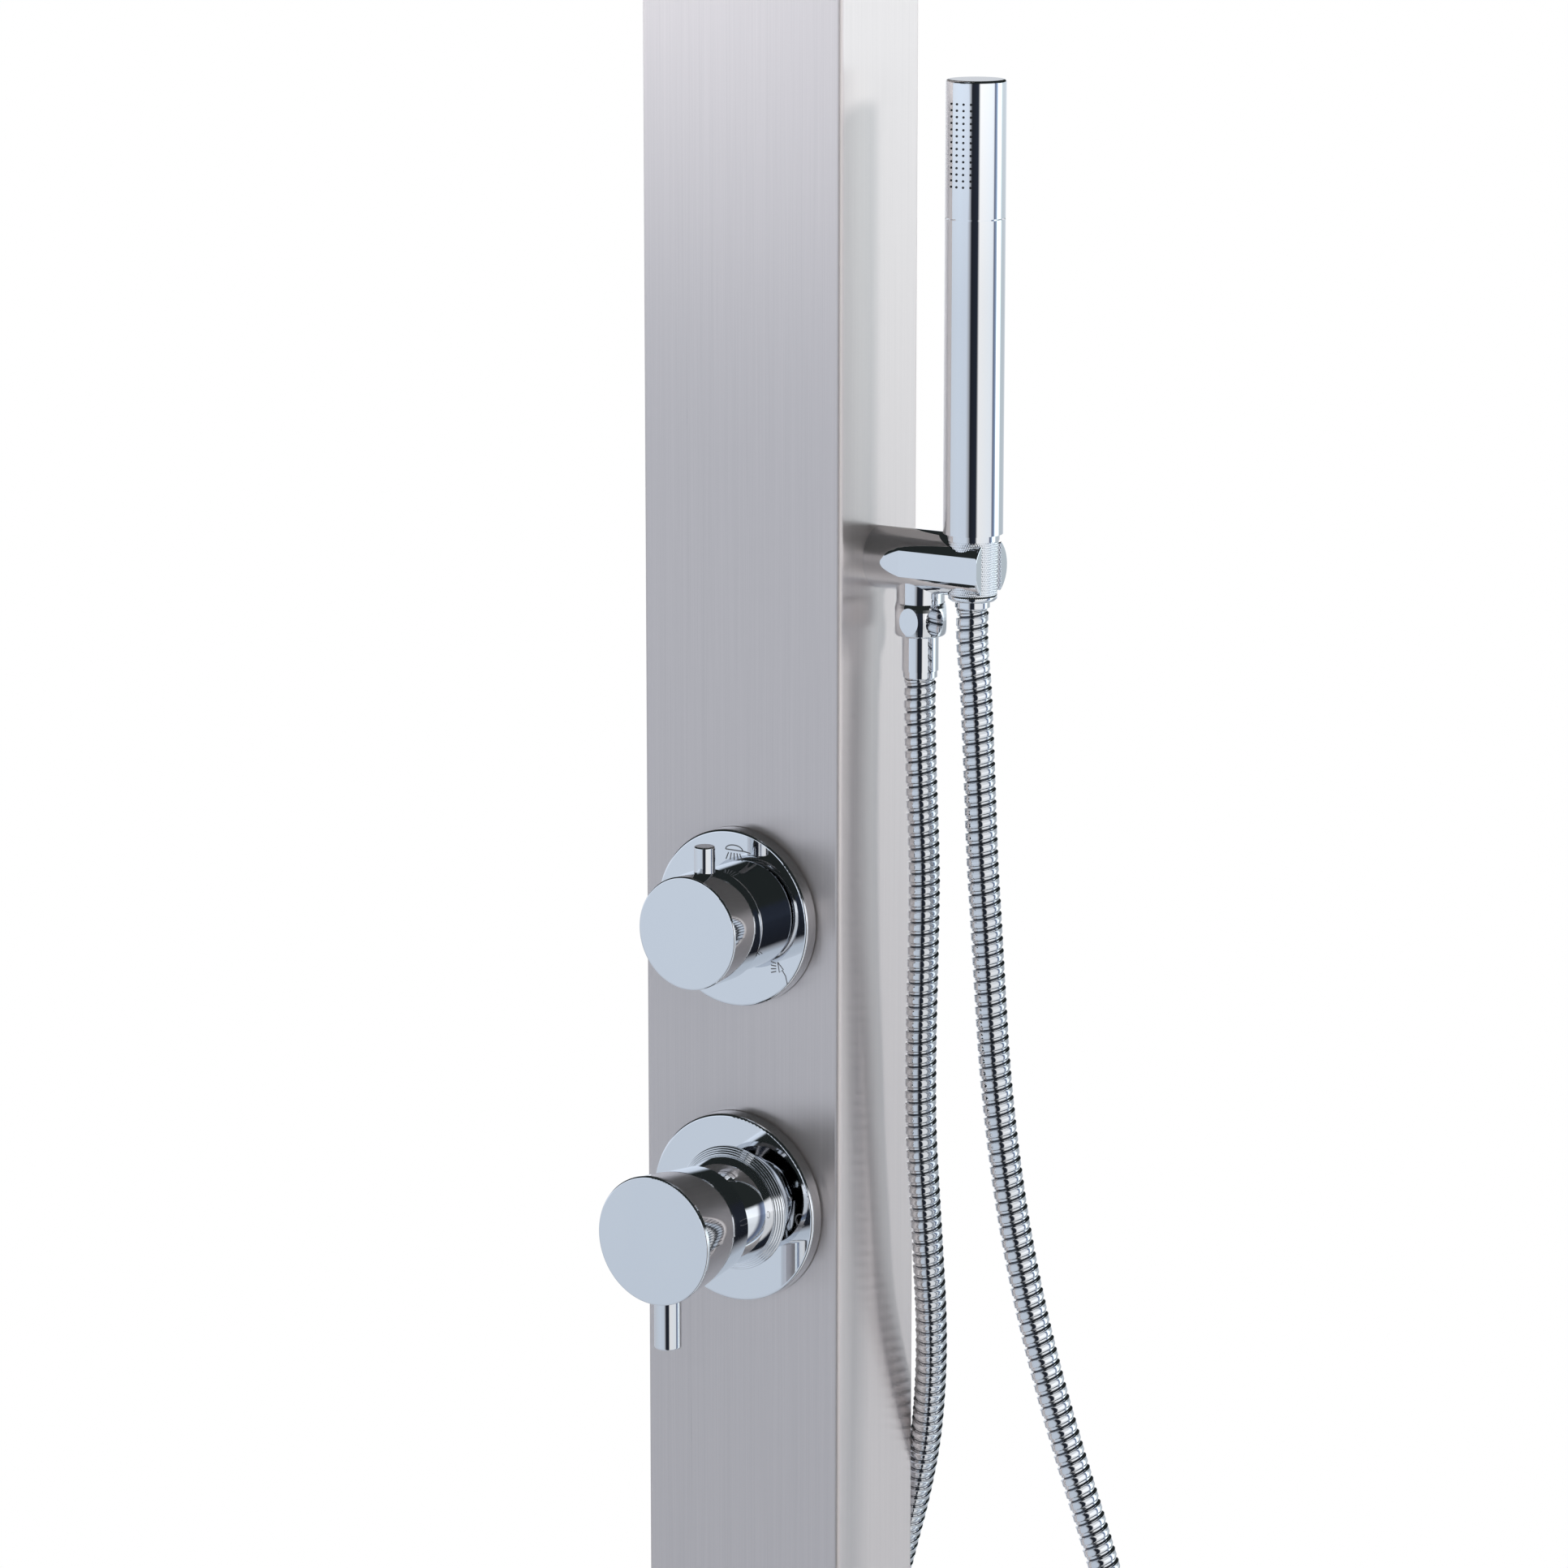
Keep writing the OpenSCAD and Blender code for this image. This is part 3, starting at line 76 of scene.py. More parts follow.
to_camera = np.array([math.sin(LOOK_TURN), -math.cos(LOOK_TURN), 0])
to_right = np.array([math.cos(LOOK_TURN), math.sin(LOOK_TURN), 0])


def add_camera():
    """Sets the camera LOOK_DISTANCE from its aim, turned and lifted, looking at it."""
    data = bpy.data.cameras.new("camera")
    data.lens = LENS_MM
    data.sensor_width = data.sensor_height = FILM_MM
    data.clip_end = LOOK_END
    camera = bpy.data.objects.new("camera", data)
    aim = LOOK_SIDE * to_right + LOOK_HEIGHT * Z_AXIS
    away = math.cos(LOOK_LIFT) * to_camera + math.sin(LOOK_LIFT) * Z_AXIS
    camera.location = aim + LOOK_DISTANCE * away
    camera.rotation_euler = (math.pi / 2 - LOOK_LIFT, 0, LOOK_TURN)
    bpy.context.scene.collection.objects.link(camera)
    bpy.context.scene.camera = camera


add_camera()


# Meshes ----------------------------------------------------------------------------


def add_mesh(name, points, faces, attributes=None):
    """A smooth mesh object at the origin from an (n, 3) array of points and an (m, k)
    array of faces. attributes holds one value for each point under each name."""
    mesh = bpy.data.meshes.new(name)
    mesh.from_pydata(points.tolist(), [], faces.tolist())
    for key, values in (attributes or {}).items():
        layer = mesh.attributes.new(key, "FLOAT", "POINT")
        layer.data.foreach_set("value", np.asarray(values, np.float32).ravel())
    mesh.polygons.foreach_set("use_smooth", np.ones(len(faces), bool))
    obj = bpy.data.objects.new(name, mesh)
    bpy.context.scene.collection.objects.link(obj)
    return obj


def quads(rows, columns, closed=False):
    """Quads between neighbouring rows of a grid of points whose rows are closed rings.
    Where the grid is closed, its last row is joined to its first one too."""
    row = np.arange(rows if closed else rows - 1)[:, None]
    here = row * columns
    above = (row + 1) % rows * columns
    k = np.arange(columns)[None, :]
    n = (k + 1) % columns
    return np.stack([here + k, here + n, above + n, above + k], -1).reshape(-1, 4)


WELD_GAP = 1e-7


def weld(obj):
    """Merges points that coincide, drops the faces that this leaves without area, and
    turns all faces outwards."""
    shape = bmesh.new()
    shape.from_mesh(obj.data)
    bmesh.ops.remove_doubles(shape, verts=shape.verts, dist=WELD_GAP)
    bmesh.ops.dissolve_degenerate(shape, edges=shape.edges, dist=WELD_GAP)
    bmesh.ops.recalc_face_normals(shape, faces=shape.faces)
    shape.to_mesh(obj.data)
    shape.free()


# Hose ------------------------------------------------------------------------------

HOSE_TURN = 5.65 * MM  # distance from one rib to the next along the hose
HOSE_SIDES = 36
HOSE_SAMPLES = 40  # points of the fine centre line between two of the route's points
# The section of one rib: how far along the turn, and the radius there in millimetres.
# A bead at the upper edge, then a broad band, a step down and a gap in painted shade.
RIB = np.array([
    (0, 6.2), (0.03, 7.1), (0.06, 7.3), (0.1, 7.2), (0.15, 7.04), (0.36, 7.06),
    (0.54, 7.1), (0.59, 7.02), (0.63, 6.8), (0.66, 6.6), (0.70, 6.48), (0.78, 6.48),
    (0.86, 6.46), (0.90, 5.7), (0.96, 5.6),
])
RIB_SHARE, RIB_RADIUS = (RIB * (1, MM)).T

# The points of the two runs, in millimetres, from each fitting to the loop's bottom.
OUTLET_ROUTE = np.array([
    (74, 0, 1198), (74, 0, 1180), (75, 0, 1150), (76, 1, 1110), (75, 2, 1070),
    (73, 4, 1030), (72, 6, 990), (72, 9, 960), (72, 13, 925), (70, 19, 895),
    (65, 27, 865), (57, 36, 832), (46, 45, 800), (33, 53, 766), (20, 60, 730),
    (11, 66, 690), (8, 70, 648), (12, 71, 614), (23, 69, 589), (38, 67, 571),
    (52, 64, 560), (68, 62, 553), (87, 59, 550),
]) * MM
HANDSET_ROUTE = np.array([
    (101, 0, 1232), (101, 0, 1216), (103, 0, 1195), (105, 0, 1160), (107, 0, 1120),
    (109, 1, 1085), (111, 2, 1050), (113, 3, 1020), (117, 4, 985), (122, 6, 950),
    (129, 8, 915), (138, 10, 880), (148, 13, 845), (159, 16, 810), (170, 20, 772),
    (178, 25, 733), (181, 30, 693), (175, 37, 642), (159, 44, 602), (139, 50, 575),
    (119, 54, 559), (102, 57, 552), (87, 59, 550),
]) * MM


def smooth_line(route, beyond):
    """Catmull-Rom curve through the route's points. It leaves the first one in the
    direction of the second, and runs through the last one towards beyond."""
    p = np.vstack([2 * route[0] - route[1], route, beyond])
    a, b, c, d = p[:-3, None], p[1:-2, None], p[2:-1, None], p[3:, None]
    t = np.linspace(0, 1, HOSE_SAMPLES, endpoint=False)[None, :, None]
    curve = (
        2 * b + (c - a) * t + (2 * a - 5 * b + 4 * c - d) * t**2
        + (3 * b - a - 3 * c + d) * t**3
    ) / 2
    return np.vstack([curve.reshape(-1, 3), route[-1]])


def ribbed_hose(name, route, beyond):
    """Helical surface round the smooth line. The point at turn u and angle a lies
    (u + a / 360 degrees) turns along the line, at the rib's radius for the share of its
    turn that u has reached, so that every rib winds round the hose as one band. The
    hose leaves its fitting straight down and runs towards beyond at its other end."""
    line = smooth_line(route, beyond)
    step = np.linalg.norm(np.diff(line, axis=0), axis=1)
    reach = np.concatenate([[0], np.cumsum(step)])
    length = reach[-1]
    ahead = np.gradient(line, reach, axis=0)
    ahead[0], ahead[-1] = -Z_AXIS, beyond - route[-2]
    ahead /= np.linalg.norm(ahead, axis=1, keepdims=True)

    shares = len(RIB_SHARE)
    turns = math.ceil(length / HOSE_TURN) + 1
    row_turn = (np.arange(-1, turns)[:, None] + RIB_SHARE[None, :]).reshape(-1, 1)
    radius = np.tile(RIB_RADIUS, turns + 1)[:, None]
    angle = np.arange(HOSE_SIDES)[None, :] / HOSE_SIDES
    wanted = (row_turn + angle) * HOSE_TURN
    at = np.clip(wanted, 0, length)
    # what would lie past an end of the run is laid on that end, at the gap's radius
    radius = np.where(wanted == at, radius, RIB_RADIUS.min())

    centre = np.stack([np.interp(at, reach, line[:, k]) for k in range(3)], -1)
    along = np.stack([np.interp(at, reach, ahead[:, k]) for k in range(3)], -1)
    side = np.cross(np.broadcast_to(Y_AXIS, along.shape), along)
    side /= np.linalg.norm(side, axis=-1, keepdims=True)
    up = np.cross(along, side)
    a = 2 * math.pi * angle[..., None]
    points = centre + radius[..., None] * (np.cos(a) * side + np.sin(a) * up)

    # the last column joins the first one a whole turn further on
    rows = len(row_turn) - shares
    i = np.arange(rows - 1)[:, None]
    k = np.arange(HOSE_SIDES)[None, :]
    last = k == HOSE_SIDES - 1
    right = (i + np.where(last, shares, 0)) * HOSE_SIDES + (k + 1) % HOSE_SIDES
    left = i * HOSE_SIDES + k
    faces = np.stack([left, right, right + HOSE_SIDES, left + HOSE_SIDES], -1)
    points, faces = points.reshape(-1, 3), faces.reshape(-1, 4)
    height = (radius - RIB_RADIUS.min()) / np.ptp(RIB_RADIUS)
    obj = add_mesh(name, points, faces, {"height": height})
    weld(obj)
    close_ends(obj)
    return obj, line, length


def close_ends(obj):
    """Fills each open ring of edges with one face."""
    shape = bmesh.new()
    shape.from_mesh(obj.data)
    rim = [e for e in shape.edges if e.is_boundary]
    bmesh.ops.holes_fill(shape, edges=rim, sides=0)
    bmesh.ops.recalc_face_normals(shape, faces=shape.faces)
    shape.to_mesh(obj.data)
    shape.free()


outlet_hose, outlet_line, outlet_length = ribbed_hose(
    "outlet_hose", OUTLET_ROUTE, HANDSET_ROUTE[-2]
)
handset_hose, handset_line, handset_length = ribbed_hose(
    "handset_hose", HANDSET_ROUTE, OUTLET_ROUTE[-2]
)
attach(outlet_hose, "stand")
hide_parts("hose_outlet_run")
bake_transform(handset_hose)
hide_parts("hose_handset_run")


# Shader helper ---------------------------------------------------------------------

# sockets of the Mix node when it mixes colours
MIX_SHARE, MIX_FROM, MIX_TO, MIX_RESULT = 0, 6, 7, 2


class Value:
    """A socket of a finish. Python sums and products of it add Math nodes."""

    def __init__(self, finish, socket):
        self.finish, self.socket = finish, socket

    def __add__(self, other):
        return self.finish.calculate("ADD", self, other)

    __radd__ = __add__

    def __sub__(self, other):
        return self.finish.calculate("SUBTRACT", self, other)

    def __rsub__(self, other):
        return self.finish.calculate("SUBTRACT", other, self)

    def __mul__(self, other):
        return self.finish.calculate("MULTIPLY", self, other)

    __rmul__ = __mul__

    def __truediv__(self, other):
        return self.finish.calculate("DIVIDE", self, other)


class Finish:
    """The nodes of one material or of the world."""

    def __init__(self, tree):
        self.tree = tree
        tree.nodes.clear()

    def node(self, kind, settings=None, inputs=None, output=0):
        """Adds a node, gives it its settings and then its sockets' values or links, and
        returns one of its outputs. stops are a ramp's (place, colour) pairs."""
        made = self.tree.nodes.new("ShaderNode" + kind)
        for name, value in (settings or {}).items():
            if name == "stops":
                ramp = made.color_ramp.elements
                while len(ramp) < len(value):
                    ramp.new(1)
                for element, (place, colour) in zip(ramp, value):
                    element.position = place
                    element.color = (*colour, 1)
            else:
                setattr(made, name, value)
        for name, value in (inputs or {}).items():
            if isinstance(value, Value):
                self.tree.links.new(value.socket, made.inputs[name])
            else:
                made.inputs[name].default_value = value
        return Value(self, made.outputs[output]) if made.outputs else None

    def calculate(self, operation, first, second):
        """A Math node of two values."""
        return self.node("Math", {"operation": operation}, {0: first, 1: second})

    def place(self, scale=(1, 1, 1)):
        """Object coordinates, stretched by scale."""
        at = self.node("TexCoord", output="Object")
        return self.node("Mapping", inputs={"Vector": at, "Scale": scale})

    def noise(self, size, detail=2, stretch=(1, 1, 1)):
        """Noise of that grain size in metres; stretch makes its grains longer."""
        at = self.place(tuple(1 / (size * s) for s in stretch))
        inputs = {"Vector": at, "Scale": 1, "Detail": detail}
        return self.node("TexNoise", inputs=inputs)

    def between(self, share, first, second):
        """The colour that lies that share of the way from the first to the second."""
        colours = [c if isinstance(c, Value) else (*c, 1) for c in (first, second)]
        return self.node(
            "Mix", {"data_type": "RGBA"},
            {MIX_SHARE: share, MIX_FROM: colours[0], MIX_TO: colours[1]}, MIX_RESULT,
        )

    def smooth_step(self, value, low, high):
        """0 where the value is below low, 1 above high, and an even slope between."""
        return self.node(
            "MapRange", {"interpolation_type": "SMOOTHSTEP"},
            {"Value": value, "From Min": low, "From Max": high},
        )

    def bump(self, height, distance, strength=1):
        """Normals of a surface that stands that distance higher where height is 1."""
        inputs = {"Height": height, "Distance": distance, "Strength": strength}
        return self.node("Bump", inputs=inputs)

    def surface(self, **inputs):
        """Adds the shader, whose sockets are named here with _ for a space, and joins
        it to the output."""
        named = {name.replace("_", " "): value for name, value in inputs.items()}
        self.finish_with(self.node("BsdfPrincipled", inputs=named))

    def finish_with(self, shader, output="OutputMaterial"):
        """Joins a shader to the output."""
        self.node(output, inputs={"Surface": shader})


def new_finish(name):
    """An empty material and its nodes."""
    material = bpy.data.materials.new(name)
    material.use_nodes = True
    return material, Finish(material.node_tree)


def give(material, *objects):
    """Puts the material on pieces and CAD nodes."""
    for item in objects:
        obj = NODES[item] if isinstance(item, str) else item
        if not obj.material_slots:
            obj.data.materials.append(material)
        for held in obj.material_slots:
            held.material = material


# Finishes --------------------------------------------------------------------------


def brushed_steel():
    """Stainless sheet brushed along Z: fine grains 60 to 90 mm long, whose gloss is
    spread across them."""
    material, f = new_finish("brushed_steel")
    fine = f.noise(0.35 * MM, 2, stretch=(1, 1, 220))
    broad = f.noise(2.4 * MM, 1, stretch=(1, 1, 160))
    grain = 0.65 * fine + 0.35 * broad
    f.surface(
        Base_Color=f.between(grain, (0.66, 0.605, 0.59), (0.81, 0.745, 0.73)),
        Metallic=0.8,
        Roughness=0.24 + 0.14 * grain,
        Anisotropic=0.85,
        Normal=f.bump(fine, 0.02 * MM, 0.25),
    )
    return material


def satin_steel(name, tint, roughness, size=0.6 * MM):
    """Evenly ground metal without a direction."""
    material, f = new_finish(name)
    grain = f.noise(size, 3)
    dark = tuple(0.86 * c for c in tint)
    f.surface(
        Base_Color=f.between(grain, dark, tint),
        Metallic=0.85,
        Roughness=roughness + 0.12 * grain,
        Normal=f.bump(grain, 0.03 * MM, 0.2),
    )
    return material


def chrome():
    """Polished chrome with faint smears and water marks in its gloss."""
    material, f = new_finish("chrome")
    smear = f.noise(18 * MM, 3, stretch=(1, 1, 2.5))
    speck = f.smooth_step(f.noise(1.1 * MM, 0), 0.70, 0.80)
    f.surface(
        Base_Color=f.between(smear, (0.83, 0.84, 0.865), (0.85, 0.86, 0.875)),
        Metallic=1.0,
        Roughness=0.025 + 0.025 * smear + 0.03 * speck,
    )
    return material


def hose_chrome():
    """Chromed steel strip with painted shade darkening the gaps between its ribs."""
    material, f = new_finish("hose_chrome")
    height = f.node("Attribute", {"attribute_name": "height"}, output="Fac")
    smear = f.noise(6 * MM, 2)
    # painted shade: near-black base colour in the gaps between ribs, chrome colour on the
    # bands
    out_of_painted_shade = f.smooth_step(height, 0.10, 0.42)
    f.surface(
        Base_Color=f.between(out_of_painted_shade, (0.15, 0.16, 0.18), (0.84, 0.85, 0.87)),
        Metallic=1.0,
        Roughness=0.32 - 0.26 * out_of_painted_shade + 0.03 * smear,
    )
    return material


def brass():
    """Cast and turned brass."""
    return satin_steel("brass", (0.86, 0.66, 0.36), 0.22, 0.4 * MM)


def plastic(name, colour, roughness):
    """Moulded plastic or rubber with a fine grain."""
    material, f = new_finish(name)
    grain = f.noise(0.5 * MM, 2)
    shade = tuple(0.88 * c for c in colour)
    f.surface(
        Base_Color=f.between(grain, shade, colour),
        Roughness=roughness + 0.1 * grain,
        Specular_IOR_Level=0.4,
        Normal=f.bump(grain, 0.04 * MM, 0.3),
    )
    return material


def weld_steel():
    """Fillet weld: overlapping ripples 1.6 mm apart, a little blued by the heat."""
    material, f = new_finish("weld_steel")
    ripple = f.node(
        "TexWave", {"bands_direction": "DIAGONAL", "wave_profile": "SAW"},
        {"Vector": f.place(), "Scale": 1 / (5 * MM), "Distortion": 3, "Detail": 1},
        "Fac",
    )
    heat = f.noise(9 * MM, 2)
    f.surface(
        Base_Color=f.between(heat, (0.50, 0.46, 0.42), (0.56, 0.56, 0.64)),
        Metallic=1.0,
        Roughness=0.34 + 0.12 * ripple,
        Normal=f.bump(ripple, 0.5 * MM, 0.6),
    )
    return material


INLET_SPACING = 52 * MM
INLET_Z = 150 * MM
THREAD_PITCH = 1.814 * MM
THREAD_START = 38 * MM  # where the thread begins, along +Y
THREAD_DEPTH = 1.1 * MM


def threaded_brass(name, centre_x):
    """Turned brass with a pipe thread round the inlet's axis: the height is a triangle
    wave of the distance along the axis less the share of a turn round it."""
    material, f = new_finish(name)
    at = f.node("TexCoord", output="Object")
    x, y, z = (f.node("SeparateXYZ", inputs={"Vector": at}, output=k) for k in range(3))
    turn = f.calculate("ARCTAN2", x - centre_x, z - INLET_Z)
    run = y / THREAD_PITCH - turn / (2 * math.pi)
    wave = f.calculate("PINGPONG", run, 0.5)
    threaded = f.smooth_step(y, THREAD_START, THREAD_START + THREAD_PITCH)
    grain = f.noise(0.4 * MM, 2)
    f.surface(
        Base_Color=f.between(grain, (0.74, 0.56, 0.30), (0.86, 0.68, 0.38)),
        Metallic=1.0,
        Roughness=0.2 + 0.12 * grain,
        Normal=f.bump(wave * threaded, THREAD_DEPTH),
    )
    return material


def etched():
    """Marks etched into chrome: matt grey."""
    material, f = new_finish("etched_marks")
    grain = f.noise(0.2 * MM, 2)
    f.surface(
        Base_Color=f.between(grain, (0.22, 0.22, 0.23), (0.32, 0.32, 0.33)),
        Metallic=0.5,
        Roughness=0.5 + 0.1 * grain,
    )
    return material


CHROME_PARTS = (
    "head_arm", "arm_rosette", "swivel_nut", "head_ball", "head_shell",
    "diverter_rosette", "diverter_sleeve", "diverter_knob", "diverter_pin",
    "mixer_rosette", "mixer_dome", "mixer_knob", "lever_pin",
    "handset_holder", "outlet_nut", "outlet_ferrule", "handset_ferrule",
    "handset_end_ring", "handset_grip", "handset_head",
)
BRASS_PARTS = (
    "arm_locknut", "arm_elbow", "diverter_body", "diverter_spindle", "mixer_body",
    "cartridge_nut", "mixer_stem", "inlet_elbows", "holder_locknut",
)
PIPES = ("hot_pipe", "cold_pipe", "mixed_pipe", "riser_pipe", "handset_pipe")

chrome_finish = chrome()
give(chrome_finish, *CHROME_PARTS)
give(brushed_steel(), "column")
give(satin_steel("satin_plate", (0.76, 0.74, 0.75), 0.40), "base_plate", "top_cap")
give(satin_steel("head_plate_steel", (0.78, 0.78, 0.80), 0.10), "head_plate")
give(satin_steel("pipe_steel", (0.72, 0.71, 0.70), 0.2), *PIPES, "carrier_pin")
give(weld_steel(), "base_weld")
give(brass(), *BRASS_PARTS)
give(threaded_brass("threaded_brass_hot", -INLET_SPACING / 2), "hot_inlet")
give(threaded_brass("threaded_brass_cold", INLET_SPACING / 2), "cold_inlet")
give(plastic("white_plastic", (0.80, 0.80, 0.78), 0.35),
     "ball_seat", "diverter_cartridge", "mixer_cartridge")
give(plastic("blue_plastic", (0.06, 0.18, 0.50), 0.35), "mixer_carrier")
give(plastic("black_rubber", (0.025, 0.025, 0.027), 0.5),
     "diverter_seal", "mixer_seal", "outlet_washer", "handset_washer")
give(plastic("grey_silicone", (0.30, 0.31, 0.32), 0.45), "head_nozzles")
give(plastic("dark_silicone", (0.02, 0.02, 0.022), 0.4), "handset_nozzles")
give(hose_chrome(), outlet_hose, handset_hose)


# Knurled cradle nut ----------------------------------------------------------------

KNURL_TEETH = 72
KNURL_SIDES = 5  # points across one tooth
KNURL_ROW = 1.05 * MM  # height of one diamond
KNURL_DEPTH = 0.28 * MM
NUT_PLAIN = 2.7 * MM  # smooth ring at the nut's foot
NUT_EDGE = 0.5 * MM  # smooth edge at the nut's top
NUT_STEP = 0.05 * MM  # height in which the smooth ring gives way to the knurl
NUT_LIP = 0.15 * MM  # chamfer of the top's rim
NUT_CHAMFER = 1 * MM
NUT_TOP_R = 11.4 * MM
NUT_LOW_R = 10.8 * MM
NUT_BORE_R = 7.85 * MM
NUT_THREAD_R = 10.6 * MM
NUT_THREAD_DEPTH = 12 * MM
NUT_AXIS_X = 101 * MM


def triangle_wave(t):
    """0 at whole numbers, 1 half way between them."""
    return 1 - np.abs(2 * (t % 1) - 1)


def knurled_nut():
    """Cone turned about the cradle's axis. On its band the radius sinks by one less the
    lower of two triangle waves, one of the angle plus the height and one of the angle
    less the height, times KNURL_DEPTH, which leaves diamonds. Rows close over the top,
    down the bore and back."""
    low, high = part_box("cradle_nut")
    foot, top = low.z, high.z
    first, last = foot + NUT_PLAIN, top - NUT_EDGE
    rows = int((last - first) / KNURL_ROW * KNURL_SIDES)
    band = np.linspace(first, last, rows + 1)
    cone_z = np.concatenate([[foot + NUT_CHAMFER, first - NUT_STEP], band, [top]])
    cone_r = np.interp(cone_z, [foot + NUT_CHAMFER, top], [NUT_LOW_R, NUT_TOP_R])
    thread_end = top - NUT_THREAD_DEPTH
    bore = [
        (NUT_TOP_R - NUT_LIP, top), (NUT_THREAD_R, top), (NUT_THREAD_R, thread_end),
        (NUT_BORE_R, thread_end), (NUT_BORE_R, foot), (NUT_LOW_R - NUT_CHAMFER, foot),
    ]
    r = np.concatenate([cone_r, [b[0] for b in bore]])[:, None]
    z = np.concatenate([cone_z, [b[1] for b in bore]])[:, None]
    z[len(cone_z) - 1] -= NUT_LIP
    columns = KNURL_TEETH * KNURL_SIDES
    turn = np.arange(columns)[None, :] / columns
    climb = (z - first) / KNURL_ROW / 2
    diamond = np.minimum(
        triangle_wave(turn * KNURL_TEETH + climb),
        triangle_wave(turn * KNURL_TEETH - climb),
    )
    knurled = np.zeros_like(z)  # 1 on the band's rows, which follow two smooth ones
    knurled[2:2 + len(band)] = 1
    radius = r - knurled * KNURL_DEPTH * (1 - diamond)
    a = 2 * math.pi * turn
    points = np.stack(
        [NUT_AXIS_X + radius * np.cos(a), radius * np.sin(a), z + 0 * a], -1
    ).reshape(-1, 3)
    return add_mesh("knurled_cradle_nut", points, quads(len(z), columns, closed=True))


cradle_nut = knurled_nut()
give(chrome_finish, cradle_nut)
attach(cradle_nut, "handset")
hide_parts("cradle_nut")


# Mixer's bonnet --------------------------------------------------------------------

BONNET_SIDES = 144
BONNET_R = 28.8 * MM
BONNET_WALL = 1 * MM
RINGS = 4
# the rows of points across one ring, as shares of its width
RING_ROWS = np.array([0.02, 0.12, 0.28, 0.5, 0.72, 0.88, 0.98])
RING_RISE = 0.4 * MM
EDGE_H = 0.55 * MM  # where the flange's outer edge ends
FLANGE_FOOT_H = 0.6 * MM  # where the rings begin
FLANGE_CLIMB = 2.2 * MM
DOME_ROWS = 41
DOME_FOOT_H = 3.2 * MM
DOME_H = 28 * MM
DOME_R = 25.2 * MM
DOME_TAPER = 0.12
DOME_ROUNDING = 79 * MM
HOLE_R = 12 * MM  # the hole in the dome's top that the lever's stem passes
CAVITY_H = 10 * MM  # where the hollow under the dome begins
NECK_R = 21.2 * MM  # the bore that sits on the valve's neck
NECK_H = 9.5 * MM


def turned_bonnet():
    """Surface of revolution about the mixer's axis. Its flange climbs over rounded
    rings: at the share s of its width it stands FLANGE_CLIMB s + RING_RISE
    |sin(RINGS pi s)| above its foot. At the height x above the flange the dome's radius
    is DOME_R - DOME_TAPER x - x^2 / DOME_ROUNDING, but at least the hole's. Rows go on
    down the inner wall and the neck's bore, and close over the foot."""
    low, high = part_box("mixer_dome")
    foot_y, axis_z = high.y, (low.z + high.z) / 2
    share = (np.arange(RINGS)[:, None] + RING_ROWS).ravel() / RINGS
    ring_r = BONNET_R + (DOME_R - BONNET_R) * share
    ring_rise = RING_RISE * np.abs(np.sin(RINGS * math.pi * share))
    ring_h = FLANGE_FOOT_H + FLANGE_CLIMB * share + ring_rise
    x = np.linspace(0, DOME_H, DOME_ROWS)
    dome_r = np.maximum(DOME_R - DOME_TAPER * x - x**2 / DOME_ROUNDING, HOLE_R)
    dome_h = DOME_FOOT_H + x
    hollow = dome_h > CAVITY_H
    inner_r = np.maximum(dome_r[hollow] - BONNET_WALL, HOLE_R - BONNET_WALL / 2)
    inner_h = dome_h[hollow] - BONNET_WALL / 2
    r = np.concatenate(
        [[BONNET_R, BONNET_R], ring_r, dome_r, inner_r[::-1], [NECK_R, NECK_R]]
    )[:, None]
    h = np.concatenate(
        [[0, EDGE_H], ring_h, dome_h, inner_h[::-1], [NECK_H, 0]]
    )[:, None]
    a = np.linspace(0, 2 * math.pi, BONNET_SIDES, endpoint=False)[None, :]
    points = np.stack([r * np.cos(a), foot_y - h + 0 * a, axis_z + r * np.sin(a)], -1)
    faces = quads(len(r), BONNET_SIDES, closed=True)
    piece = add_mesh("ringed_bonnet", points.reshape(-1, 3), faces)
    weld(piece)
    return piece


bonnet = turned_bonnet()
give(chrome_finish, bonnet)
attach(bonnet, "stand")
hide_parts("mixer_dome")


# Engraved signs --------------------------------------------------------------------

STROKE = 0.55 * MM
STROKE_RISE = 0.03 * MM  # above the rosette
STROKE_SINK = 0.1 * MM  # into it
ROSETTE_FACE_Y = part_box("mixer_rosette")[0].y  # the diverter's is as thick
DIVERTER_Z, MIXER_Z = (
    sum(corner.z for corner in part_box(name)) / 2
    for name in ("diverter_rosette", "mixer_rosette")
)
SIGN_R = 31.5 * MM
RAIN_X = 1.5 * MM
SPRAY_TURN = math.radians(-38)
LETTER_R = 37.2 * MM
LETTER_H = 5.6 * MM
LETTER_HALF = 2 * MM  # half the width of the H


def arc(centre, radius, start, end, points=14):
    """Points of an arc between two angles in degrees; radius may be (across, up)."""
    a = np.radians(np.linspace(start, end, points))
    rx, ry = radius if isinstance(radius, tuple) else (radius, radius)
    return np.stack([centre[0] + rx * np.cos(a), centre[1] + ry * np.sin(a)], -1)


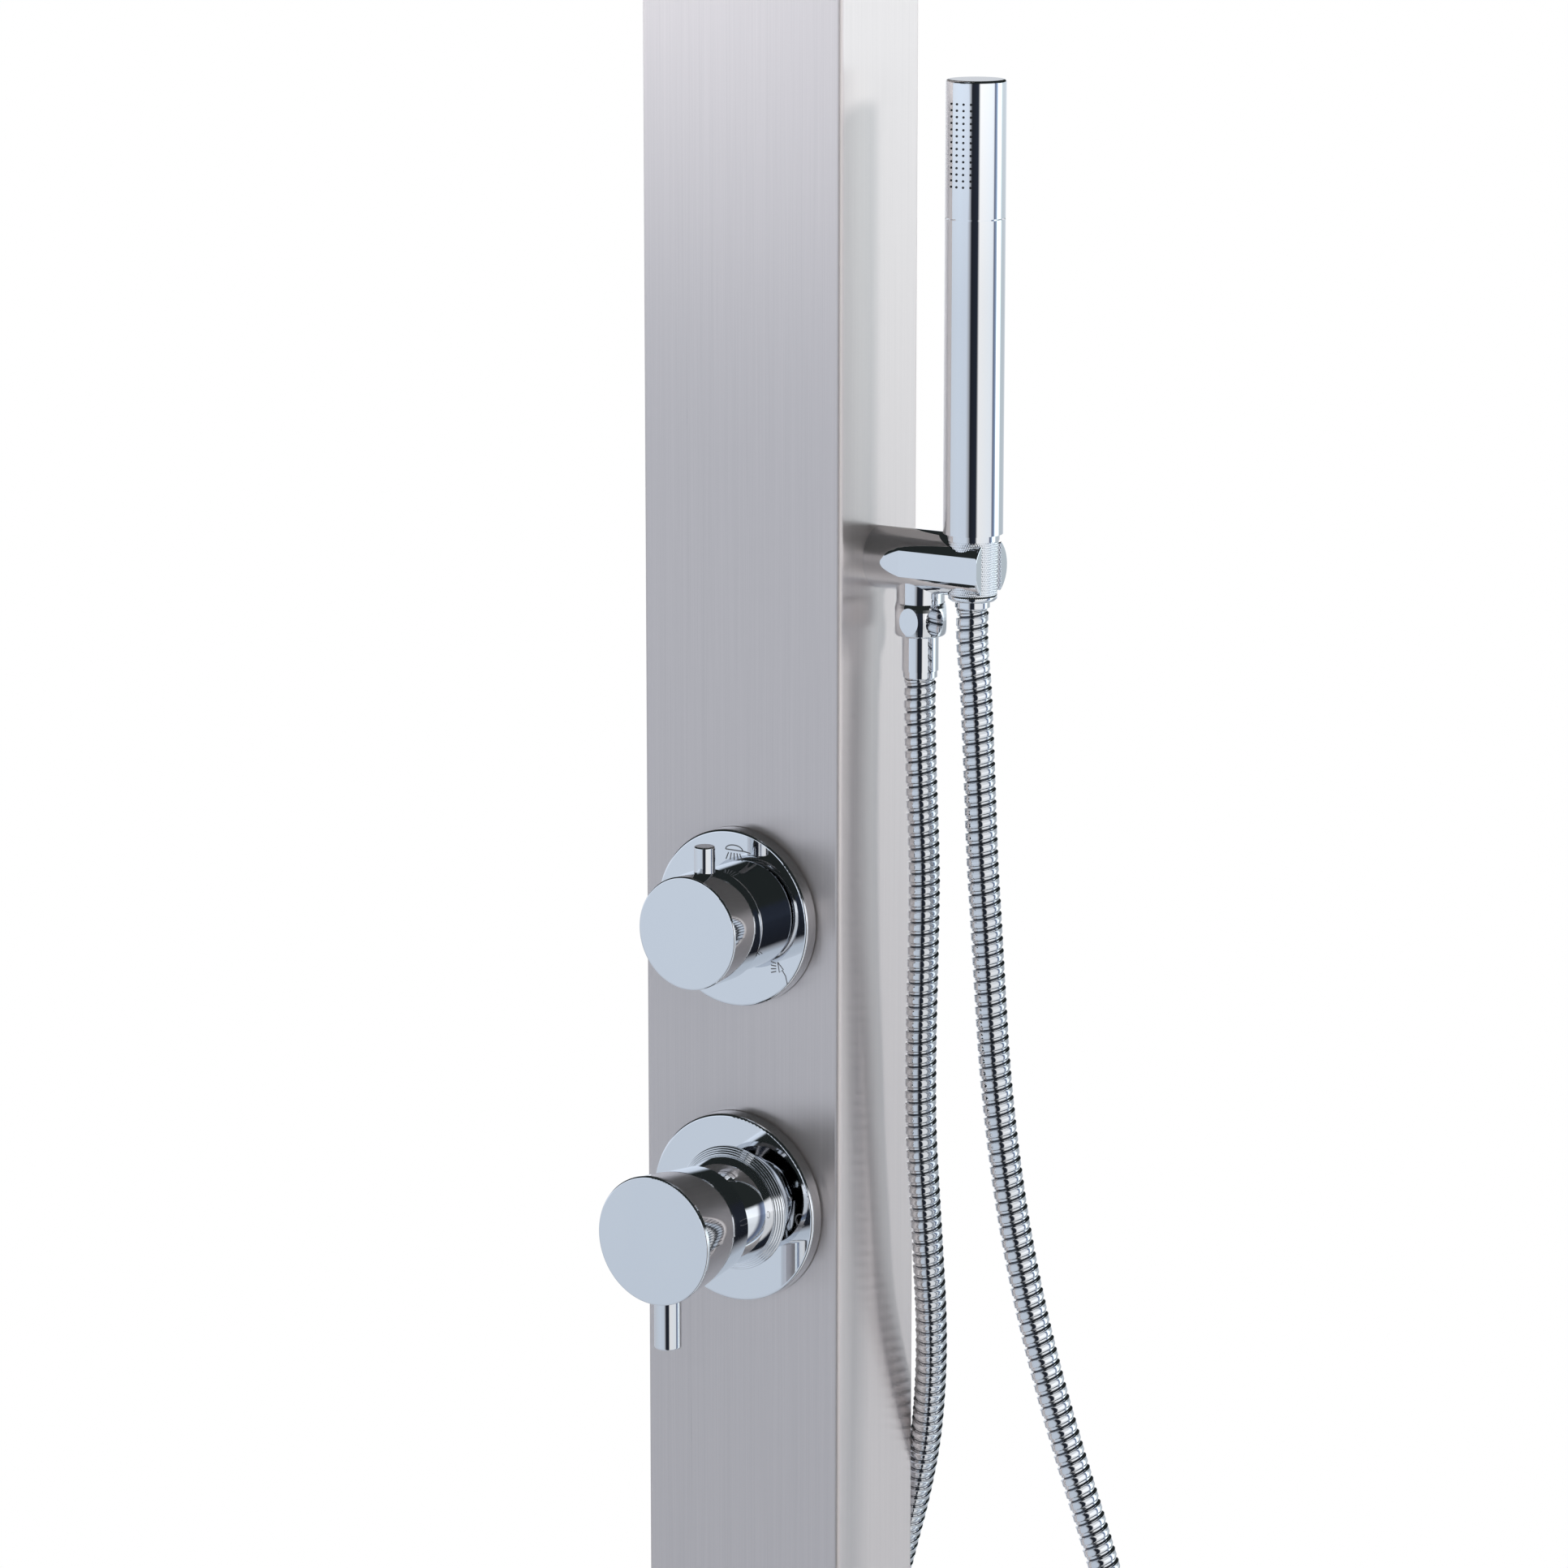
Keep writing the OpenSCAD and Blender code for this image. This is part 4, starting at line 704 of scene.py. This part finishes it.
def stroke_prism(path, centre_z):
    """Closed prism along a flat path of (x, up) points: each point is moved half a
    stroke to both sides, square to the path, on a front and on a back plane."""
    path = np.asarray(path, float)
    ahead = np.gradient(path, axis=0)
    ahead /= np.linalg.norm(ahead, axis=1, keepdims=True)
    side = np.stack([-ahead[:, 1], ahead[:, 0]], -1) * STROKE / 2
    corners = []
    for rim, y in ((side, -STROKE_RISE), (-side, -STROKE_RISE),
                   (-side, STROKE_SINK), (side, STROKE_SINK)):
        flat = path + rim
        depth = np.full(len(path), ROSETTE_FACE_Y + y)
        corners.append(np.stack([flat[:, 0], depth, centre_z + flat[:, 1]], -1))
    points = np.stack(corners, 1).reshape(-1, 3)
    first = np.arange(4)
    last = len(points) - 1 - first
    return points, np.vstack([quads(len(path), 4), first, last])


def add_sign(name, paths, centre_z):
    """One etched piece of several strokes round the height centre_z."""
    points, faces, start = [], [], 0
    for path in paths:
        p, q = stroke_prism(path, centre_z)
        points.append(p)
        faces.append(q + start)
        start += len(p)
    sign = add_mesh(name, np.vstack(points), np.vstack(faces))
    flat = np.zeros(len(sign.data.polygons), bool)
    sign.data.polygons.foreach_set("use_smooth", flat)
    weld(sign)
    give(etched_finish, sign)
    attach(sign, "stand")


def rain_sign(centre):
    """A domed shower head with an arm and five streams below it, drawn in millimetres
    and then moved to the centre."""
    dome = arc((0, 0), (4.6, 2.3), 0, 180)
    plate = [(-4.6, 0), (4.6, 0)]
    arm = [(4.6, 0.1), (8.8, -0.5)]
    streams = [[(1.5 * k, -1.3), (2.2 * k, -4.6)] for k in (-2, -1, 0, 1, 2)]
    return [np.array(path) * MM + centre for path in (dome, plate, arm, *streams)]


def spray_sign(centre):
    """A hand shower seen from its side, with four streams, drawn in millimetres and
    then moved to the centre."""
    head = [(0, 2.4), (0.9, -2.2), (3.0, -0.6), (0, 2.4)]
    grip = [(2.4, -1.0), (4.2, -3.4), (5.2, -7.2)]
    streams = [[(-0.8, 1.7 - 1.2 * k), (-3.6, 2.3 - 1.7 * k)] for k in range(4)]
    return [np.array(path) * MM + centre for path in (head, grip, *streams)]


def cold_letter():
    """A C on the right of the mixer's rosette."""
    return [arc((LETTER_R, 0), LETTER_H / 2, 45, 315, 20)]


def hot_letter():
    """An H on the left of the mixer's rosette."""
    left, right = -LETTER_R - LETTER_HALF, -LETTER_R + LETTER_HALF
    low, high = -LETTER_H / 2, LETTER_H / 2
    return [[(left, low), (left, high)], [(right, low), (right, high)],
            [(left, 0), (right, 0)]]


etched_finish = etched()
spray_place = (SIGN_R * math.cos(SPRAY_TURN), SIGN_R * math.sin(SPRAY_TURN))
add_sign("rain_sign", rain_sign((RAIN_X, SIGN_R)), DIVERTER_Z)
add_sign("spray_sign", spray_sign(spray_place), DIVERTER_Z)
add_sign("cold_letter", cold_letter(), MIXER_Z)
add_sign("hot_letter", hot_letter(), MIXER_Z)


# Studio ----------------------------------------------------------------------------

# What polished metal sees all round the studio at eye level: the turn in degrees to the
# right of the camera, and the light there above and below the horizon.
PANELS = [
    (-180, (0.80, 0.83, 0.88), (0.74, 0.79, 0.88)),
    (-150, (0.52, 0.56, 0.64), (0.62, 0.65, 0.72)),
    (-112, (0.66, 0.72, 0.80), (0.64, 0.70, 0.78)),
    (-66, (0.675, 0.755, 0.86), (0.675, 0.755, 0.86)),
    (-32, (0.66, 0.73, 0.83), (0.64, 0.72, 0.82)),
    (-22, (0.38, 0.40, 0.44), (0.38, 0.40, 0.44)),
    (-16, (0.016, 0.018, 0.024), (0.016, 0.018, 0.024)),
    (8, (0.020, 0.026, 0.040), (0.020, 0.026, 0.040)),
    (15, (0.98, 0.98, 0.98), (0.94, 0.95, 0.96)),
    (60, (0.90, 0.95, 1.0), (0.88, 0.93, 0.98)),
    (70, (0.86, 0.90, 0.95), (0.86, 0.90, 0.95)),
    (75, (0.11, 0.13, 0.20), (0.11, 0.13, 0.20)),
    (87, (0.34, 0.44, 0.62), (0.34, 0.44, 0.62)),
    (91, (1.58, 1.77, 1.82), (1.13, 1.26, 1.34)),
    (105, (1.58, 1.77, 1.82), (1.13, 1.26, 1.34)),
    (112, (0.58, 0.66, 0.70), (0.44, 0.49, 0.54)),
    (140, (0.56, 0.62, 0.67), (0.42, 0.46, 0.50)),
    (180, (0.80, 0.83, 0.88), (0.74, 0.79, 0.88)),
]
# A ray's height is the sine of its lift. The panels' lower light gives way to the upper
# one between the heights of HORIZON, and the panels to the ceiling between CEILING's.
HORIZON = (math.sin(math.radians(-12)), math.sin(math.radians(-8.5)))
CEILING = (math.sin(math.radians(9)), math.sin(math.radians(17)))
CEILING_COLOUR = (0.018, 0.022, 0.022)
CEILING_DROP = 0.12  # how much lower the ceiling's height is behind the object
BEHIND = (-0.3, 0.15)  # how far towards the camera a ray points where that sets in
# how strong the panels are at some lifts in degrees
PANEL_FALL = [
    (-60, 0.80), (-20, 0.84), (-12, 0.94), (-7, 0.98), (-4.5, 1.25), (8, 1.12),
]
FALL_SCALE = 2  # the fall's ramp holds its strengths divided by this
WHITE = (1, 1, 1)


def studio_world():
    """White for the camera. For all surfaces it is the panels' colour at the ray's turn
    and height, times their strength at that height, and above them the ceiling's."""
    world = bpy.data.worlds.new("studio")
    world.use_nodes = True
    bpy.context.scene.world = world
    f = Finish(world.node_tree)
    ray = f.node("TexCoord", output="Generated")

    def towards(axis):
        """How far the ray points along the axis, from -1 to 1."""
        inputs = {0: ray, 1: tuple(axis)}
        return f.node("VectorMath", {"operation": "DOT_PRODUCT"}, inputs, "Value")

    turn = f.calculate("ARCTAN2", towards(to_right), towards(to_camera))
    height = towards(Z_AXIS)
    share = turn / (2 * math.pi) + 0.5
    ramps = [[(panel[0] / 360 + 0.5, panel[k]) for panel in PANELS] for k in (1, 2)]
    upper, lower = (
        f.node("ValToRGB", {"stops": stops}, {"Fac": share}, "Color") for stops in ramps
    )
    wall = f.between(f.smooth_step(height, *HORIZON), lower, upper)
    stops = [
        (math.sin(math.radians(lift)) / 2 + 0.5, (strength / FALL_SCALE,) * 3)
        for lift, strength in PANEL_FALL
    ]
    fall = f.node("ValToRGB", {"stops": stops}, {"Fac": height / 2 + 0.5}, "Color")
    inputs = {0: wall, 1: fall * FALL_SCALE}
    wall = f.node("VectorMath", {"operation": "MULTIPLY"}, inputs)
    behind = 1 - f.smooth_step(towards(to_camera), *BEHIND)
    high = f.smooth_step(height + CEILING_DROP * behind, *CEILING)
    seen = f.between(high, wall, CEILING_COLOUR)
    camera = f.node("LightPath", output="Is Camera Ray")
    colour = f.between(camera, seen, WHITE)
    background = f.node("Background", inputs={"Color": colour, "Strength": 1})
    f.finish_with(background, "OutputWorld")


FLOOR_R = 7
FLOOR_RINGS = 24
FLOOR_SIDES = 96
FLOOR_DROP = 0.2 * MM  # how far below the object's foot it lies
FLOOR_COLOUR = (0.80, 0.80, 0.81)
FLOOR_ROUGHNESS = 0.8
SHADOW_REACH = (0.5, 1.6)  # the floor fades to the backdrop's white between these
NEAR_WHITE = 0.45  # the share of that white close to the object


def studio_floor():
    """Pale floor: a disc whose rings grow outwards with the square of their number.
    Near the object it takes shadows, and further out the camera sees it as white as
    the backdrop."""
    rings = FLOOR_R * np.linspace(0, 1, FLOOR_RINGS)[:, None] ** 2
    a = np.linspace(0, 2 * math.pi, FLOOR_SIDES, endpoint=False)[None, :]
    x, y = rings * np.cos(a), rings * np.sin(a)
    points = np.stack([x, y, np.full_like(x, -FLOOR_DROP)], -1).reshape(-1, 3)
    floor = add_mesh("floor", points, quads(FLOOR_RINGS, FLOOR_SIDES))
    weld(floor)
    material, f = new_finish("floor")
    at = f.node("TexCoord", output="Object")
    reach = f.node("VectorMath", {"operation": "LENGTH"}, {0: at}, "Value")
    far = f.smooth_step(reach, *SHADOW_REACH)
    seen = f.node("LightPath", output="Is Camera Ray")
    pale = {"Base Color": (*FLOOR_COLOUR, 1), "Roughness": FLOOR_ROUGHNESS}
    matt = f.node("BsdfPrincipled", inputs=pale)
    white = f.node("Emission", inputs={"Color": (*WHITE, 1), "Strength": 1})
    share = seen * (NEAR_WHITE + (1 - NEAR_WHITE) * far)
    f.finish_with(f.node("MixShader", inputs={0: share, 1: matt, 2: white}))
    floor.data.materials.append(material)
    floor.visible_glossy = False


def soft_lamp(name, place, aim, size, power, spread=180):
    """A soft rectangular lamp that faces its aim and throws its light over a cone of
    spread degrees. Neither the camera nor polished metal sees it."""
    data = bpy.data.lights.new(name, "AREA")
    data.shape = "RECTANGLE"
    data.size, data.size_y = size
    data.energy = power
    data.spread = math.radians(spread)
    lamp = bpy.data.objects.new(name, data)
    lamp.location = place
    ahead = Vector(aim) - Vector(place)
    lamp.rotation_euler = ahead.to_track_quat("-Z", "Y").to_euler()
    lamp.visible_camera = False
    lamp.visible_glossy = False
    bpy.context.scene.collection.objects.link(lamp)


studio_world()
studio_floor()
soft_lamp("key_light", (1.96, 0.67, 2.06), (0.05, 0, 1.2), (0.32, 0.32), 66)
soft_lamp("front_fill", (1.6, -2.4, 2.6), (0, 0, 1.0), (1.6, 1.6), 18)
soft_lamp("top_fill", (0, 0, 4.2), (0, 0, 0), (2.4, 2.4), 60)
soft_lamp("left_light", (-0.9, -1.1, 2.1), (-0.05, 0, 1.57), (0.1, 0.1), 0.62, 17)
bpy.context.scene.view_settings.view_transform = "Standard"
